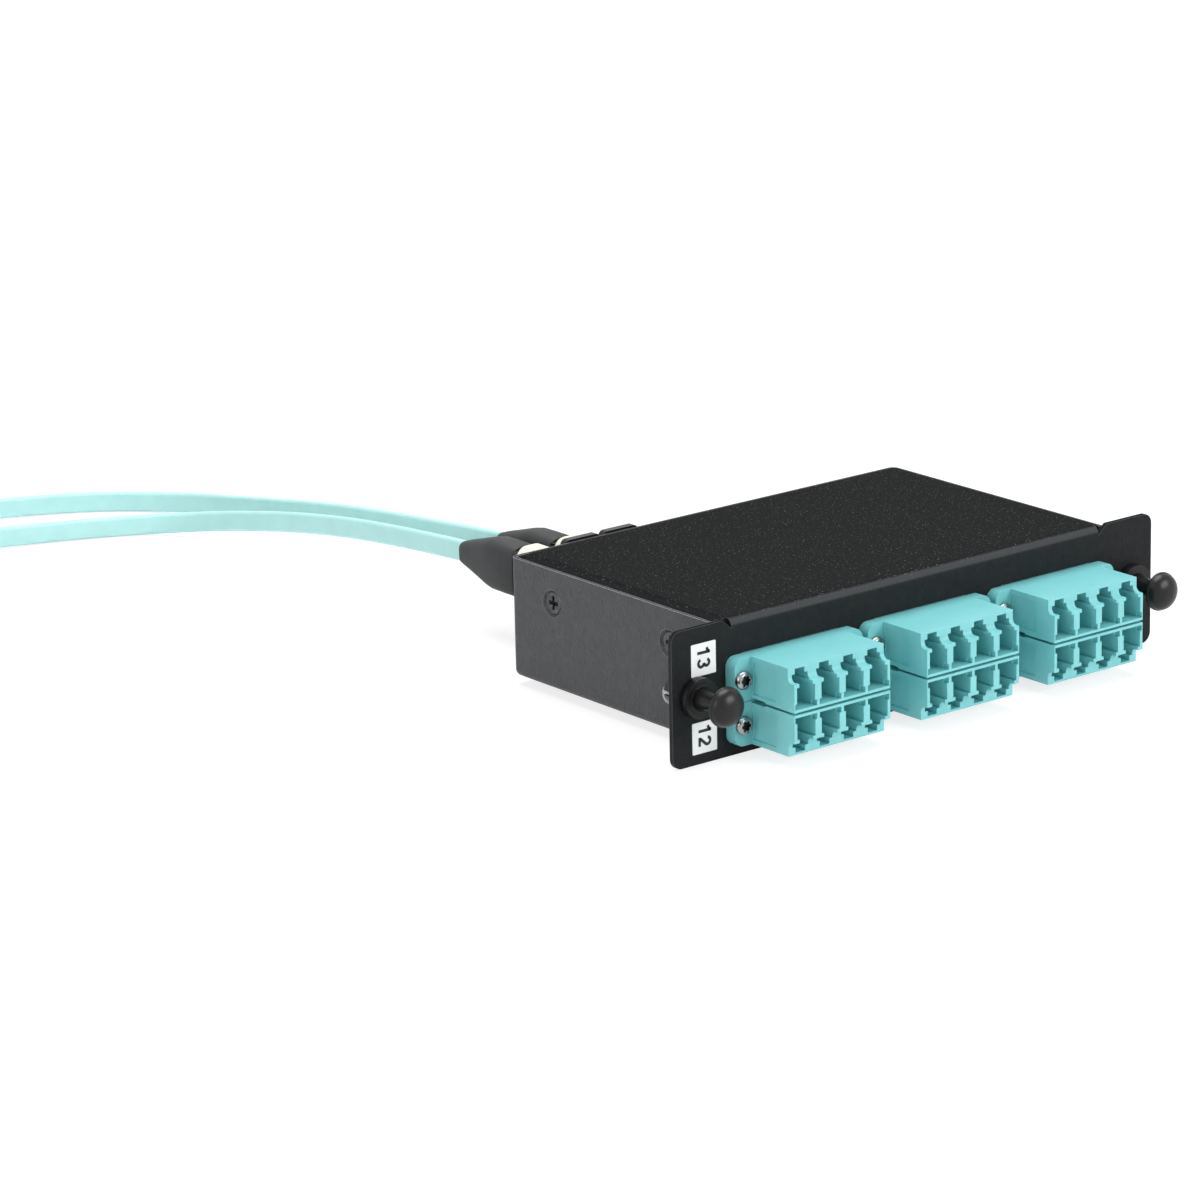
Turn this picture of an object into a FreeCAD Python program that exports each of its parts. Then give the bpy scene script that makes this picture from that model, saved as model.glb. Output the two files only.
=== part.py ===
import FreeCAD, Part
import math
import os

import Sketcher

# A pre-terminated fibre cassette: folded cover with faceplate, tray, six quad LC adapters, two panel
# plungers and two multi-fibre trunk jumpers plugged in behind.
# Frame: X runs along the faceplate, Y from the front to the rear, Z up. The origin is the middle of the
# base of the cassette's own box (the trunk cords left out), on the surface that it rests on.

V = FreeCAD.Vector
X_DIR, Y_DIR, Z_DIR = V(1, 0, 0), V(0, 1, 0), V(0, 0, 1)

SIZES = [
    # faceplate and cover
    ("plate_width", 129.5, "faceplate from ear to ear"),
    ("plate_height", 28.0, "faceplate from its lower edge to the top panel"),
    ("plate_corner", 2.2, "rounding of the four outer corners"),
    ("cover_sheet", 1.0, "thickness of the cover's sheet"),
    ("cover_width", 102.8, "outside of the cover's side flanges"),
    ("cover_depth", 65.4, "faceplate's front to the rear flange's outside"),
    ("cover_bend", 1.9, "outside radius of the cover's bends"),
    ("relief_width", 2.4, "sloping notch beside each end of the front bend"),
    ("relief_depth", 2.0, "depth of that notch below the ear's top"),
    ("front_slit", 0.6, "slit between a side flange and the faceplate"),
    ("side_flange_height", 21.5, "cover's side flange, from the top panel down"),
    ("rear_flange_height", 3.4, "cover's rear flange, from the top panel down"),
    # tray
    ("tray_sheet", 0.8, "thickness of the tray's sheet"),
    ("tray_gap", 0.4, "clearance between cover flange and tray wall"),
    ("tray_depth", 67.0, "faceplate's front to the rear wall's outside"),
    ("tray_lift", 1.6, "underside of the tray above the faceplate's lower edge"),
    ("tray_drop", 0.9, "wall's top edge below the top panel"),
    ("tray_bend", 1.6, "outside radius of the tray's bends"),
    # LC adapters
    ("column_pitch", 34.6, "from one adapter column to the next"),
    ("stack_base", 2.45, "lowest face of the adapters above the faceplate's lower edge"),
    ("row_gap", 0.5, "gap between the bodies of the two rows"),
    ("adapter_width", 24.8, "adapter body"),
    ("adapter_height", 8.75, "adapter body"),
    ("adapter_reach", 15.7, "adapter's front face ahead of the faceplate"),
    ("adapter_setback", 1.9, "upper part of the adapter's front, behind its lower part"),
    ("scoop_radius", 1.2, "hollow between the two parts of the front"),
    ("adapter_inside", 11.3, "adapter behind the faceplate's front"),
    ("adapter_cutout_gap", 0.15, "clearance of the adapters in the faceplate"),
    ("flange_width", 33.2, "adapter flange"),
    ("flange_thickness", 2.8, "adapter flange"),
    ("flange_lap", 0.2, "flange below the body's floor"),
    ("flange_corner", 2.0, "rounding of the flange's outer corners"),
    ("port_pitch", 6.25, "from one LC port to the next"),
    ("port_width", 4.65, "plug space of a port"),
    ("port_height", 4.5, "plug space of a port"),
    ("port_floor", 0.55, "wall under the plug space"),
    ("rail_gap", 3.45, "between the rails above the plug space"),
    ("rail_thickness", 0.7, "rails above the plug space"),
    ("latch_width", 4.0, "latch space above the rails"),
    ("latch_height", 1.45, "latch space above the rails"),
    ("slot_width", 2.5, "slot for the latch's thumb under the top wall"),
    ("slot_height", 1.1, "slot for the latch's thumb under the top wall"),
    ("foot_width", 5.6, "relief at the feet of the partitions"),
    ("foot_height", 1.2, "relief at the feet of the partitions"),
    ("foot_depth", 1.2, "relief at the feet of the partitions"),
    ("mating_plane", 2.3, "ferrules meet this far ahead of the faceplate's front"),
    ("web_thickness", 1.2, "web that carries the sleeve holders"),
    ("holder_length", 4.0, "sleeve holder, from the mating plane forward"),
    ("holder_radius", 1.55, "sleeve holder"),
    ("holder_bore", 0.65, "bore for the ferrules"),
    ("recess_depth", 0.3, "shallow panel in the adapter's sides"),
    ("recess_length", 6.8, "shallow panel in the adapter's sides"),
    ("recess_margin", 1.0, "shallow panel's edge to the body's edges"),
    ("notch_height", 0.25, "step in the floor behind the flange"),
    ("notch_length", 4.2, "step in the floor behind the flange"),
    ("flange_screw_offset", 14.7, "flange screw from the adapter's middle"),
    ("flange_screw_head", 1.9, "head radius of the flange screw"),
    ("flange_screw_head_height", 1.3, "head of the flange screw"),
    # panel plungers
    ("plunger_spacing", 117.5, "from one plunger to the other"),
    ("plunger_hole", 3.2, "hole radius in the faceplate"),
    ("grommet_rim", 4.1, "radius of the grommet's rim"),
    ("grommet_rim_height", 2.0, "grommet in front of the faceplate"),
    ("grommet_leg", 3.1, "radius of the grommet's legs"),
    ("grommet_leg_length", 6.5, "grommet behind the faceplate's front"),
    ("grommet_barb", 0.35, "barb behind the faceplate, beyond the hole"),
    ("grommet_slot", 0.9, "slots between the grommet's legs"),
    ("plunger_shaft", 2.2, "shaft radius"),
    ("plunger_clearance", 0.05, "radial clearance of the shaft in the grommet"),
    ("plunger_neck", 1.55, "neck radius next to the knob"),
    ("knob_radius", 4.1, "knob"),
    ("knob_rim", 0.8, "thickness of the knob's rim"),
    ("knob_dome", 2.4, "height of the knob's dome"),
    ("knob_stand_off", 8.6, "back of the pulled knob ahead of the faceplate"),
    ("shaft_tail", 4.0, "shaft behind the faceplate's front, knob pulled"),
    # side fasteners
    ("side_screw_height", 20.0, "upper side screws above the faceplate's lower edge"),
    ("side_rivet_height", 9.5, "lower side rivet above the faceplate's lower edge"),
    ("side_front", 15.7, "front side fasteners behind the faceplate"),
    ("side_rear", 53.3, "rear side screws behind the faceplate"),
    ("side_screw_head", 2.7, "head radius of the countersunk screws"),
    ("side_screw_radius", 1.5, "thread radius of the countersunk screws"),
    ("side_screw_length", 5.6, "countersunk screw below the wall's surface"),
    ("side_screw_cone", 0.8, "depth of its conical head"),
    ("side_sink", 0.3, "head below the wall's surface"),
    ("rivet_head", 2.1, "rivet head radius"),
    ("rivet_dome", 1.1, "rivet head height"),
    ("rivet_top", 1.1, "flat top of the rivet's head"),
    # rear multi-fibre adapters and plugs
    ("trunk_first", 33.5, "first rear adapter to the left of the middle"),
    ("trunk_pitch", 10.0, "from the first rear adapter to the second"),
    ("trunk_height", 16.0, "rear adapters' middle above the faceplate's lower edge"),
    ("mpo_body_width", 9.4, "rear adapter"),
    ("mpo_body_height", 14.2, "rear adapter"),
    ("mpo_flange_height", 22.8, "rear adapter's flange"),
    ("mpo_flange_lift", 0.2, "flange's middle above the body's middle"),
    ("mpo_flange_thickness", 1.7, "rear adapter's flange"),
    ("mpo_flange_corner", 1.3, "rear adapter's flange"),
    ("mpo_reach", 9.4, "rear adapter behind the rear wall"),
    ("mpo_inside", 10.0, "rear adapter inside the rear wall"),
    ("mpo_mating", 0.5, "trunk ferrules meet this far inside the rear wall's outside"),
    ("mpo_web", 1.0, "web in the middle of the rear adapter"),
    ("mpo_cutout_gap", 0.15, "rear adapters in their cut-out"),
    ("mpo_screw_spacing", 18.6, "between the rear adapter's screws"),
    ("mpo_screw_head", 1.5, "head radius of those screws"),
    ("mpo_screw_head_height", 1.0, "head of those screws"),
    ("coupling_width", 7.6, "coupling sleeve of a plug"),
    ("coupling_height", 12.4, "coupling sleeve of a plug"),
    ("coupling_length", 13.2, "coupling sleeve of a plug"),
    ("coupling_visible", 8.8, "coupling sleeve behind the adapter"),
    ("coupling_gap", 0.1, "coupling sleeve in the adapter, each side"),
    ("plug_width", 6.4, "plug body inside the coupling sleeve"),
    ("plug_height", 9.8, "plug body inside the coupling sleeve"),
    ("plug_gap", 0.08, "plug body in the coupling sleeve, each side"),
    ("coupling_round", 0.8, "bevel along the coupling sleeve"),
    ("collar_gap", 0.2, "plug collar to coupling sleeve"),
    ("ferrule_width", 2.5, "multi-fibre ferrule"),
    ("ferrule_height", 6.4, "multi-fibre ferrule"),
    ("ferrule_length", 3.0, "ferrule ahead of the plug body"),
    ("release_gap", 1.7, "coupling sleeve to boot"),
    ("boot_width", 7.5, "boot's base"),
    ("boot_height", 11.3, "boot's base"),
    ("boot_straight", 9.3, "boot before the taper"),
    ("boot_taper", 11.4, "tapered end of the boot"),
    ("boot_tip_width", 4.5, "boot's end"),
    ("boot_tip_height", 4.9, "boot's end"),
    ("boot_round", 0.9, "bevel along the boot"),
    ("inner_boot_straight", 1.5, "boot of the inner multi-fibre plug before the taper"),
    ("inner_boot_taper", 6.0, "tapered end of that boot"),
    # inside
    ("lc_body", 4.5, "LC plug body, across"),
    ("lc_body_length", 14.0, "LC plug body"),
    ("lc_nose", 9.0, "LC plug body inside the adapter"),
    ("lc_boot_length", 9.0, "LC plug boot"),
    ("lc_tip", 1.6, "end of the LC plug's boot, across"),
    # trunk cords
    ("cord_width", 4.6, "flat cord, its wider side"),
    ("coil_radius", 25.4, "trunk coil, middle of its turns"),
    ("tie_thickness", 0.5, "tie round a coil"),
    ("tie_angle", 14.0, "part of the coil that the tie covers, in degrees"),
    ("cord_thickness", 2.0, "flat cord, its thinner side"),
    ("coil_rows", 3.0, "turns of a coil that lie beside each other"),
    ("turn_pitch", 2.1, "from one turn of a coil to the next"),
    ("coil_lift", 0.6, "underside of a coil above the surface"),
    ("far_lead", 12.0, "cord between a coil and its far plug"),
]

doc = FreeCAD.newDocument("FibreCassette")
sheet = doc.addObject("Spreadsheet::Sheet", "Sizes")
for row, (alias, number, note) in enumerate(SIZES, 1):
    sheet.set(f"A{row}", str(number))
    sheet.setAlias(f"A{row}", alias)
    sheet.set(f"B{row}", note)
doc.recompute()


class Size:
    """A length that keeps its number together with the spreadsheet expression it comes from."""

    def __init__(self, number, text):
        self.number = float(number)
        self.text = text

    def __add__(self, other):
        other = size(other)
        return Size(self.number + other.number, f"({self.text} + {other.text})")

    def __sub__(self, other):
        other = size(other)
        return Size(self.number - other.number, f"({self.text} - {other.text})")

    def __rsub__(self, other):
        return size(other) - self

    def __mul__(self, factor):
        return Size(self.number * factor, f"({self.text} * {factor})")

    def __truediv__(self, factor):
        return Size(self.number / factor, f"({self.text} / {factor})")

    def __neg__(self):
        return self * -1

    __radd__ = __add__
    __rmul__ = __mul__


def size(value):
    """A size by its alias in the sheet, or a plain number as a size."""
    if isinstance(value, Size):
        return value
    if isinstance(value, str):
        return Size(sheet.get(value), f"Sizes.{value}")
    return Size(value, repr(float(value)))


# Places that several pieces share.
boot_base = size("tray_depth") + "mpo_reach" + "coupling_visible" + "release_gap"
boot_end = boot_base + "boot_straight" + "boot_taper"
face_y = (size("adapter_reach") - boot_end) / 2
top_z = size("plate_height")
flange_half = size("cover_width") / 2
tray_half = flange_half + "tray_gap" + "tray_sheet"
lower_floor = size("stack_base") + "adapter_height"
upper_floor = lower_floor + "row_gap"
column_x = [-size("column_pitch"), size(0), size("column_pitch")]
trunk_x = [-size("trunk_first"), size("trunk_pitch") - "trunk_first"]
trunk_mating = face_y + "tray_depth" - "mpo_mating"
pieces = []
SIDES = 12  # of small round holes and screws


# Bodies, sketches and features.
def new_body(label):
    body = doc.addObject("PartDesign::Body", label)
    body.Label = label
    pieces.append(body)
    return body


def origin_item(body, role):
    return next(item for item in body.Origin.OriginFeatures if item.Role == role)


def new_sketch(body, axis, place):
    """A sketch across an axis. Its directions are Y and Z, X and Z, or X and Y."""
    plane, sign = {"X": ("YZ_Plane", 1), "Y": ("XZ_Plane", -1), "Z": ("XY_Plane", 1)}[axis]
    sketch = body.newObject("Sketcher::SketchObject", f"{body.Name}_sketch")
    sketch.AttachmentSupport = [(origin_item(body, plane), "")]
    sketch.MapMode = "FlatFace"
    sketch.setExpression(".AttachmentOffset.Base.z", (size(place) * sign).text)
    return sketch


def bind(sketch, value, kind, *where):
    """Adds a constraint to the sketch and ties it to the sheet."""
    index = sketch.addConstraint(Sketcher.Constraint(kind, *where, value.number))
    sketch.renameConstraint(index, f"c{index}")
    sketch.setExpression(f"Constraints.c{index}", value.text)


def bind_point(sketch, u, v, *where):
    bind(sketch, u, "DistanceX", -1, 1, *where)
    bind(sketch, v, "DistanceY", -1, 1, *where)


def polygon(points):
    """A closed outline of straight sides."""
    corners = [(size(u), size(v)) for u, v in points]

    def draw(sketch):
        first = sketch.GeometryCount
        for (u0, v0), (u1, v1) in zip(corners, corners[1:] + corners[:1]):
            start, end = V(u0.number, v0.number, 0), V(u1.number, v1.number, 0)
            sketch.addGeometry(Part.LineSegment(start, end), False)
        for index, (u, v) in enumerate(corners):
            before = first + (index - 1) % len(corners)
            sketch.addConstraint(Sketcher.Constraint("Coincident", before, 2, first + index, 1))
            bind_point(sketch, u, v, first + index, 1)

    return draw


def rectangle(u0, u1, v0, v1):
    return polygon([(u0, v0), (u1, v0), (u1, v1), (u0, v1)])


def circle(u, v, radius):
    u, v, radius = size(u), size(v), size(radius)

    def draw(sketch):
        index = sketch.addGeometry(Part.Circle(V(u.number, v.number, 0), Z_DIR, radius.number), False)
        bind_point(sketch, u, v, index, 3)
        bind(sketch, radius, "Radius", index)

    return draw


def regular(u, v, radius, sides):
    """A polygon of equal sides, its corners on a circle."""
    turns = [2 * math.pi * (index + 0.5) / sides for index in range(sides)]
    return polygon([(size(u) + size(radius) * math.cos(turn), size(v) + size(radius) * math.sin(turn))
                    for turn in turns])


def together(*drawings):
    def draw(sketch):
        for drawing in drawings:
            drawing(sketch)

    return draw


def block(body, axis, low, high, draw):
    """A pad of the drawing from low to high along the axis."""
    sketch = new_sketch(body, axis, high if axis == "Y" else low)
    draw(sketch)
    feature = body.newObject("PartDesign::Pad", f"{body.Name}_pad")
    feature.Profile = sketch
    feature.setExpression("Length", (size(high) - low).text)
    doc.recompute()
    return feature


def cut(body, axis, low, high, draw):
    """A pocket of the drawing from low to high along the axis."""
    before = body.Shape.Volume
    sketch = new_sketch(body, axis, low if axis == "Y" else high)
    draw(sketch)
    feature = body.newObject("PartDesign::Pocket", f"{body.Name}_pocket")
    feature.Profile = sketch
    feature.setExpression("Length", (size(high) - low).text)
    doc.recompute()
    if body.Shape.Volume >= before:
        raise RuntimeError(f"{body.Label}: a pocket removes nothing")
    return feature


def turned(body, profile):
    """A revolution about Y of an outline of (radius, y) points."""
    sketch = new_sketch(body, "Z", 0)
    polygon(profile)(sketch)
    feature = body.newObject("PartDesign::Revolution", f"{body.Name}_turned")
    feature.Profile = sketch
    feature.ReferenceAxis = (origin_item(body, "Y_Axis"), [""])
    feature.Angle = 360
    doc.recompute()
    return feature


def repeat(body, feature, axis, pitch, count):
    """The feature again and again along an axis."""
    pattern = body.newObject("PartDesign::LinearPattern", f"{body.Name}_row")
    pattern.Originals = [feature]
    pattern.Direction = (origin_item(body, f"{axis}_Axis"), [""])
    pattern.Mode = "Spacing"
    pattern.setExpression("Offset", size(pitch).text)
    pattern.Occurrences = count
    body.Tip = pattern
    doc.recompute()


def soften(body, amount, wanted, kind="Fillet"):
    """A fillet or a chamfer on the edges that the test picks."""
    base = body.Tip
    names = [f"Edge{number}" for number, edge in enumerate(base.Shape.Edges, 1) if wanted(edge)]
    if not names:
        raise RuntimeError(f"{body.Label}: no edge for a {kind}")
    feature = body.newObject(f"PartDesign::{kind}", f"{body.Name}_{kind.lower()}")
    feature.Base = (base, names)
    feature.setExpression("Radius" if kind == "Fillet" else "Size", size(amount).text)
    doc.recompute()


def straight(edge, direction):
    """Whether an edge is a straight one along X, Y or Z."""
    bounds = edge.BoundBox
    spans = V(bounds.XLength, bounds.YLength, bounds.ZLength)
    along = spans.dot(direction)
    return along > 1e-3 and spans.Length - along < 1e-6


def near(number, value):
    return abs(number - mm(value)) < 1e-3


def put(item, x, y, z, turn=FreeCAD.Rotation()):
    """Places a body at sizes from the sheet."""
    item.Placement = FreeCAD.Placement(V(mm(x), mm(y), mm(z)), turn)
    for axis, value in zip("xyz", (x, y, z)):
        item.setExpression(f".Placement.Base.{axis}", size(value).text)


def group(label, shapes):
    """A node of loose solids, or of one."""
    item = doc.addObject("Part::Feature", label)
    item.Label = label
    item.Shape = Part.makeCompound(shapes) if len(shapes) > 1 else shapes[0]
    pieces.append(item)


def mm(value):
    return size(value).number


def point(x, y, z):
    return V(mm(x), mm(y), mm(z))


def rod(start, direction, length, radius, end_radius=None):
    """A many-sided rod or taper. Its corners match those of the holes."""
    length, radii = mm(length), (mm(radius), mm(radius if end_radius is None else end_radius))
    across = Z_DIR.cross(direction)
    turns = [2 * math.pi * (index + 0.5) / SIDES for index in range(SIDES)]
    ends = [[start + direction * along + (across * math.cos(turn) + Z_DIR * math.sin(turn)) * wide for turn in turns]
            for along, wide in zip((0, length), radii)]
    faces = [Part.Face(Part.makePolygon(end + end[:1])) for end in ends]
    for index in range(SIDES):
        (a, b), (c, d) = [(end[index - 1], end[index]) for end in ends]
        faces.append(Part.Face(Part.makePolygon([a, b, d, c, a])))
    solid = Part.Solid(Part.Shell(faces))
    if solid.Volume < 0:
        solid.reverse()
    return solid


def between(sign, inner, outer):
    """Two places on one side of the middle, the lower one first."""
    ends = [size(inner) * sign, size(outer) * sign]
    return ends if sign > 0 else ends[::-1]


# The cover: top panel, side flanges, rear flange and faceplate, folded from one sheet.
def make_cover():
    body = new_body("cover_faceplate")
    sheet_t, bend, depth = size("cover_sheet"), size("cover_bend"), size("cover_depth")
    front = flange_half - bend
    beyond = flange_half + 1
    low = top_z - "side_flange_height"
    block(body, "Z", low, top_z, rectangle(-flange_half, flange_half, 0, depth))
    soften(body, bend, lambda edge: near(edge.BoundBox.Center.z, top_z))
    cut(body, "Z", low, top_z - sheet_t,
        rectangle(sheet_t - flange_half, flange_half - sheet_t, sheet_t, depth - sheet_t))
    soften(body, bend - sheet_t, lambda edge: near(edge.BoundBox.Center.z, top_z - sheet_t)
           and edge.BoundBox.ZLength < 1e-6)
    cut(body, "Y", depth - bend, depth, rectangle(-beyond, beyond, low - 1, top_z - "rear_flange_height"))
    for sign in (-1, 1):
        corner = rectangle(*between(sign, front, beyond), low - 1, top_z + 1)
        cut(body, "Y", depth - bend, depth, corner)
        cut(body, "Y", sheet_t, sheet_t + "front_slit", corner)

    ear_end = size("plate_width") / 2
    notch = front + "relief_width"
    notch_z = top_z - "relief_depth"
    block(body, "Y", 0, sheet_t, polygon([
        (-ear_end, 0), (ear_end, 0), (ear_end, top_z), (notch, top_z), (front, notch_z),
        (-front, notch_z), (-notch, top_z), (-ear_end, top_z)]))
    for sign in (-1, 1):
        cut(body, "Y", 0, sheet_t, polygon([
            (front * sign, notch_z), (notch * sign, top_z), (notch * sign, top_z + 1), (front * sign, top_z + 1)]))
    soften(body, "plate_corner", lambda edge: straight(edge, Y_DIR)
           and near(abs(edge.BoundBox.Center.x), ear_end))

    stack_half = size("adapter_width") / 2 + "adapter_cutout_gap"
    for x in column_x:
        cut(body, "Y", 0, sheet_t, rectangle(
            x - stack_half, x + stack_half, size("stack_base") - "adapter_cutout_gap",
            upper_floor + "adapter_height" + "adapter_cutout_gap"))
    cut(body, "Y", 0, sheet_t, together(*[
        circle(size("plunger_spacing") / 2 * sign, top_z / 2, "plunger_hole") for sign in (-1, 1)]))
    cut(body, "X", -beyond, beyond, together(*[
        regular(y, "side_screw_height", "side_screw_radius", SIDES) for y in ("side_front", "side_rear")]))
    put(body, 0, face_y, 0)


def flange_screw_heights():
    """Heights of the lower and of the upper adapter's screws."""
    middle = size("adapter_height") / 2
    return [lower_floor - middle, upper_floor + middle]


# The tray: bottom, side walls and rear wall, open at the front.
def make_tray():
    body = new_body("base_tray")
    sheet_t, bend = size("tray_sheet"), size("tray_bend")
    low, high = size("tray_lift"), top_z - "tray_drop"
    front, rear = size("cover_sheet"), size("tray_depth")
    block(body, "Z", low, high, rectangle(-tray_half, tray_half, front, rear))
    soften(body, bend, lambda edge: tray_bend(edge, tray_half, rear, low))
    cut(body, "Z", low + sheet_t, high,
        rectangle(sheet_t - tray_half, tray_half - sheet_t, front, rear - sheet_t))
    soften(body, bend - sheet_t,
           lambda edge: tray_bend(edge, tray_half - sheet_t, rear - sheet_t, low + sheet_t))

    gap = size("mpo_cutout_gap")
    wide = size("mpo_body_width") / 2 + gap
    tall = size("mpo_body_height") / 2 + gap
    middle = size("trunk_height")
    cut(body, "Y", rear - sheet_t, rear,
        rectangle(trunk_x[0] - wide, trunk_x[1] + wide, middle - tall, middle + tall))

    sink = sheet_t - 0.1
    mouth = size("side_screw_head") + "side_sink"
    for sign in (-1, 1):
        wall = between(sign, tray_half - sheet_t, tray_half)
        cut(body, "X", *wall, together(*[
            regular(y, "side_screw_height", mouth - sink, SIDES) for y in ("side_front", "side_rear")]))
    soften(body, sink, lambda edge: near(abs(edge.BoundBox.Center.x), tray_half)
           and edge.BoundBox.XLength < 1e-6 and edge.Length < mm(mouth), "Chamfer")
    put(body, 0, face_y, 0)


def tray_bend(edge, half, rear, low):
    """Whether an edge is one of the five that the tray is folded along."""
    middle = edge.BoundBox.Center
    along_side = straight(edge, Y_DIR) and near(middle.z, low) and near(abs(middle.x), half)
    along_rear = straight(edge, X_DIR) and near(middle.z, low) and near(middle.y, rear)
    upright = straight(edge, Z_DIR) and near(middle.y, rear) and near(abs(middle.x), half)
    return along_side or along_rear or upright


def mpo_screw_height(sign):
    return size("trunk_height") + "mpo_flange_lift" + size("mpo_screw_spacing") / 2 * sign


# A quad LC adapter. In its own frame the faceplate's front is at y = 0 and its floor at z = 0.
def make_adapter(label, x, floor, turn):
    body = new_body(label)
    half, tall = size("adapter_width") / 2, size("adapter_height")
    reach, inside = size("adapter_reach"), size("adapter_inside")
    plug_top = size("port_floor") + "port_height"
    rail_top = plug_top + "rail_thickness"
    setback = reach - "adapter_setback"
    block(body, "X", -half, half, polygon([
        (-reach, 0), (inside, 0), (inside, tall), (-setback, tall), (-setback, rail_top), (-reach, rail_top)]))
    soften(body, "scoop_radius", lambda edge: straight(edge, X_DIR)
           and near(edge.BoundBox.Center.y, -setback) and near(edge.BoundBox.Center.z, rail_top))

    flange, lap = size("flange_width") / 2, size("flange_lap")
    block(body, "Y", -size("flange_thickness"), 0, rectangle(-flange, flange, -lap, tall))
    soften(body, "flange_corner", lambda edge: straight(edge, Y_DIR)
           and near(edge.BoundBox.Center.z, tall) and near(abs(edge.BoundBox.Center.x), flange))

    latch_top = rail_top + "latch_height"
    steps = [("port_width", "port_floor"), ("port_width", plug_top), ("rail_gap", plug_top),
             ("rail_gap", rail_top), ("latch_width", rail_top), ("latch_width", latch_top),
             ("slot_width", latch_top), ("slot_width", latch_top + "slot_height")]
    first = size("port_pitch") * -1.5
    right = [(first + size(width) / 2, height) for width, height in steps]
    left = [(first - size(width) / 2, height) for width, height in reversed(steps)]
    mating, web = -size("mating_plane"), size("web_thickness") / 2
    repeat(body, cut(body, "Y", -reach, mating - web, polygon(right + left)), "X", "port_pitch", 4)
    port = size("port_width") / 2
    rear_port = rectangle(first - port, first + port, "port_floor", plug_top)
    repeat(body, cut(body, "Y", mating + web, inside, rear_port), "X", "port_pitch", 4)
    foot = size("foot_width") / 2
    feet = rectangle(first - foot, first + foot, "port_floor", size("port_floor") + "foot_height")
    repeat(body, cut(body, "Y", -reach, size("foot_depth") - reach, feet), "X", "port_pitch", 4)
    axis_z = size("port_floor") + size("port_height") / 2
    holder = mating - "holder_length"
    repeat(body, block(body, "Y", holder, mating, regular(first, axis_z, "holder_radius", 8)), "X", "port_pitch", 4)
    repeat(body, cut(body, "Y", holder, mating + web, regular(first, axis_z, "holder_bore", 6)),
           "X", "port_pitch", 4)

    margin = size("recess_margin")
    flange_front = -size("flange_thickness")
    panel_end = flange_front - margin / 2
    for sign in (-1, 1):
        cut(body, "X", *between(sign, half - "recess_depth", half),
            rectangle(panel_end - "recess_length", panel_end, margin, tall - margin))
    cut(body, "Z", 0, "notch_height", rectangle(-half, half, flange_front - "notch_length", flange_front))
    put(body, x, face_y, floor, turn)


def port_places(sign):
    """Middles of the twelve ports of the upper row (sign 1) or of the lower row (sign -1)."""
    floor = upper_floor if sign > 0 else lower_floor
    height = floor + (size("port_floor") + size("port_height") / 2) * sign
    for x in column_x:
        for step in (-1.5, -0.5, 0.5, 1.5):
            yield x + size("port_pitch") * step, height


def make_flange_screws():
    """The heads of the screws that hold the adapters, seated on their flanges."""
    seat = face_y - "flange_thickness"
    group("adapter_screws", [
        rod(point(x + size("flange_screw_offset") * sign, seat, height), -Y_DIR, "flange_screw_head_height",
            "flange_screw_head")
        for x in column_x for sign in (-1, 1) for height in flange_screw_heights()])


def make_side_fasteners():
    """Countersunk screws through the tray into the cover's flanges, and a rivet's head on each side."""
    screws, rivets = [], []
    for sign in (-1, 1):
        inward = X_DIR * -sign
        for y in ("side_front", "side_rear"):
            top = point((tray_half - "side_sink") * sign, face_y + y, "side_screw_height")
            head = rod(top, inward, "side_screw_cone", "side_screw_head", size("side_screw_head") - "side_screw_cone")
            screws.append(head.fuse(rod(top, inward, "side_screw_length", "side_screw_radius")).removeSplitter())
        seat = point(tray_half * sign, face_y + "side_front", "side_rivet_height")
        rivets.append(rod(seat, -inward, "rivet_dome", "rivet_head", "rivet_top"))
    group("side_screws", screws)
    group("side_rivets", rivets)


# Panel plungers: a push pin in a split grommet at each ear.
def make_grommet(label, x):
    body = new_body(label)
    bore = size("plunger_shaft") + "plunger_clearance"
    leg, barb = size("grommet_leg"), size("plunger_hole") + "grommet_barb"
    sheet_t, tail = size("cover_sheet"), size("grommet_leg_length")
    turned(body, [
        (bore, -size("grommet_rim_height")), ("grommet_rim", -size("grommet_rim_height")), ("grommet_rim", 0), (leg, 0),
        (leg, sheet_t), (barb, sheet_t), (leg - 0.3, tail), (bore, tail)])
    slot = size("grommet_slot") / 2
    beyond = barb + 1
    cut(body, "Y", sheet_t, tail, rectangle(-slot, slot, -beyond, beyond))
    cut(body, "Y", sheet_t, tail, rectangle(-beyond, beyond, -slot, slot))
    put(body, x, face_y, top_z / 2)


def make_plunger(label, x):
    body = new_body(label)
    shaft, tail, knob = size("plunger_shaft"), size("shaft_tail"), size("knob_radius")
    rim_back = -size("knob_stand_off")
    rim_front = rim_back - "knob_rim"
    dome = rim_front - "knob_dome"
    turned(body, [
        (0, tail), (shaft, tail), (shaft, -size("grommet_rim_height")), ("plunger_neck", rim_back),
        (knob, rim_back), (knob, rim_front), (knob * 0.6, dome + size("knob_dome") * 0.2), (0, dome)])
    put(body, x, face_y, top_z / 2)


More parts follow.
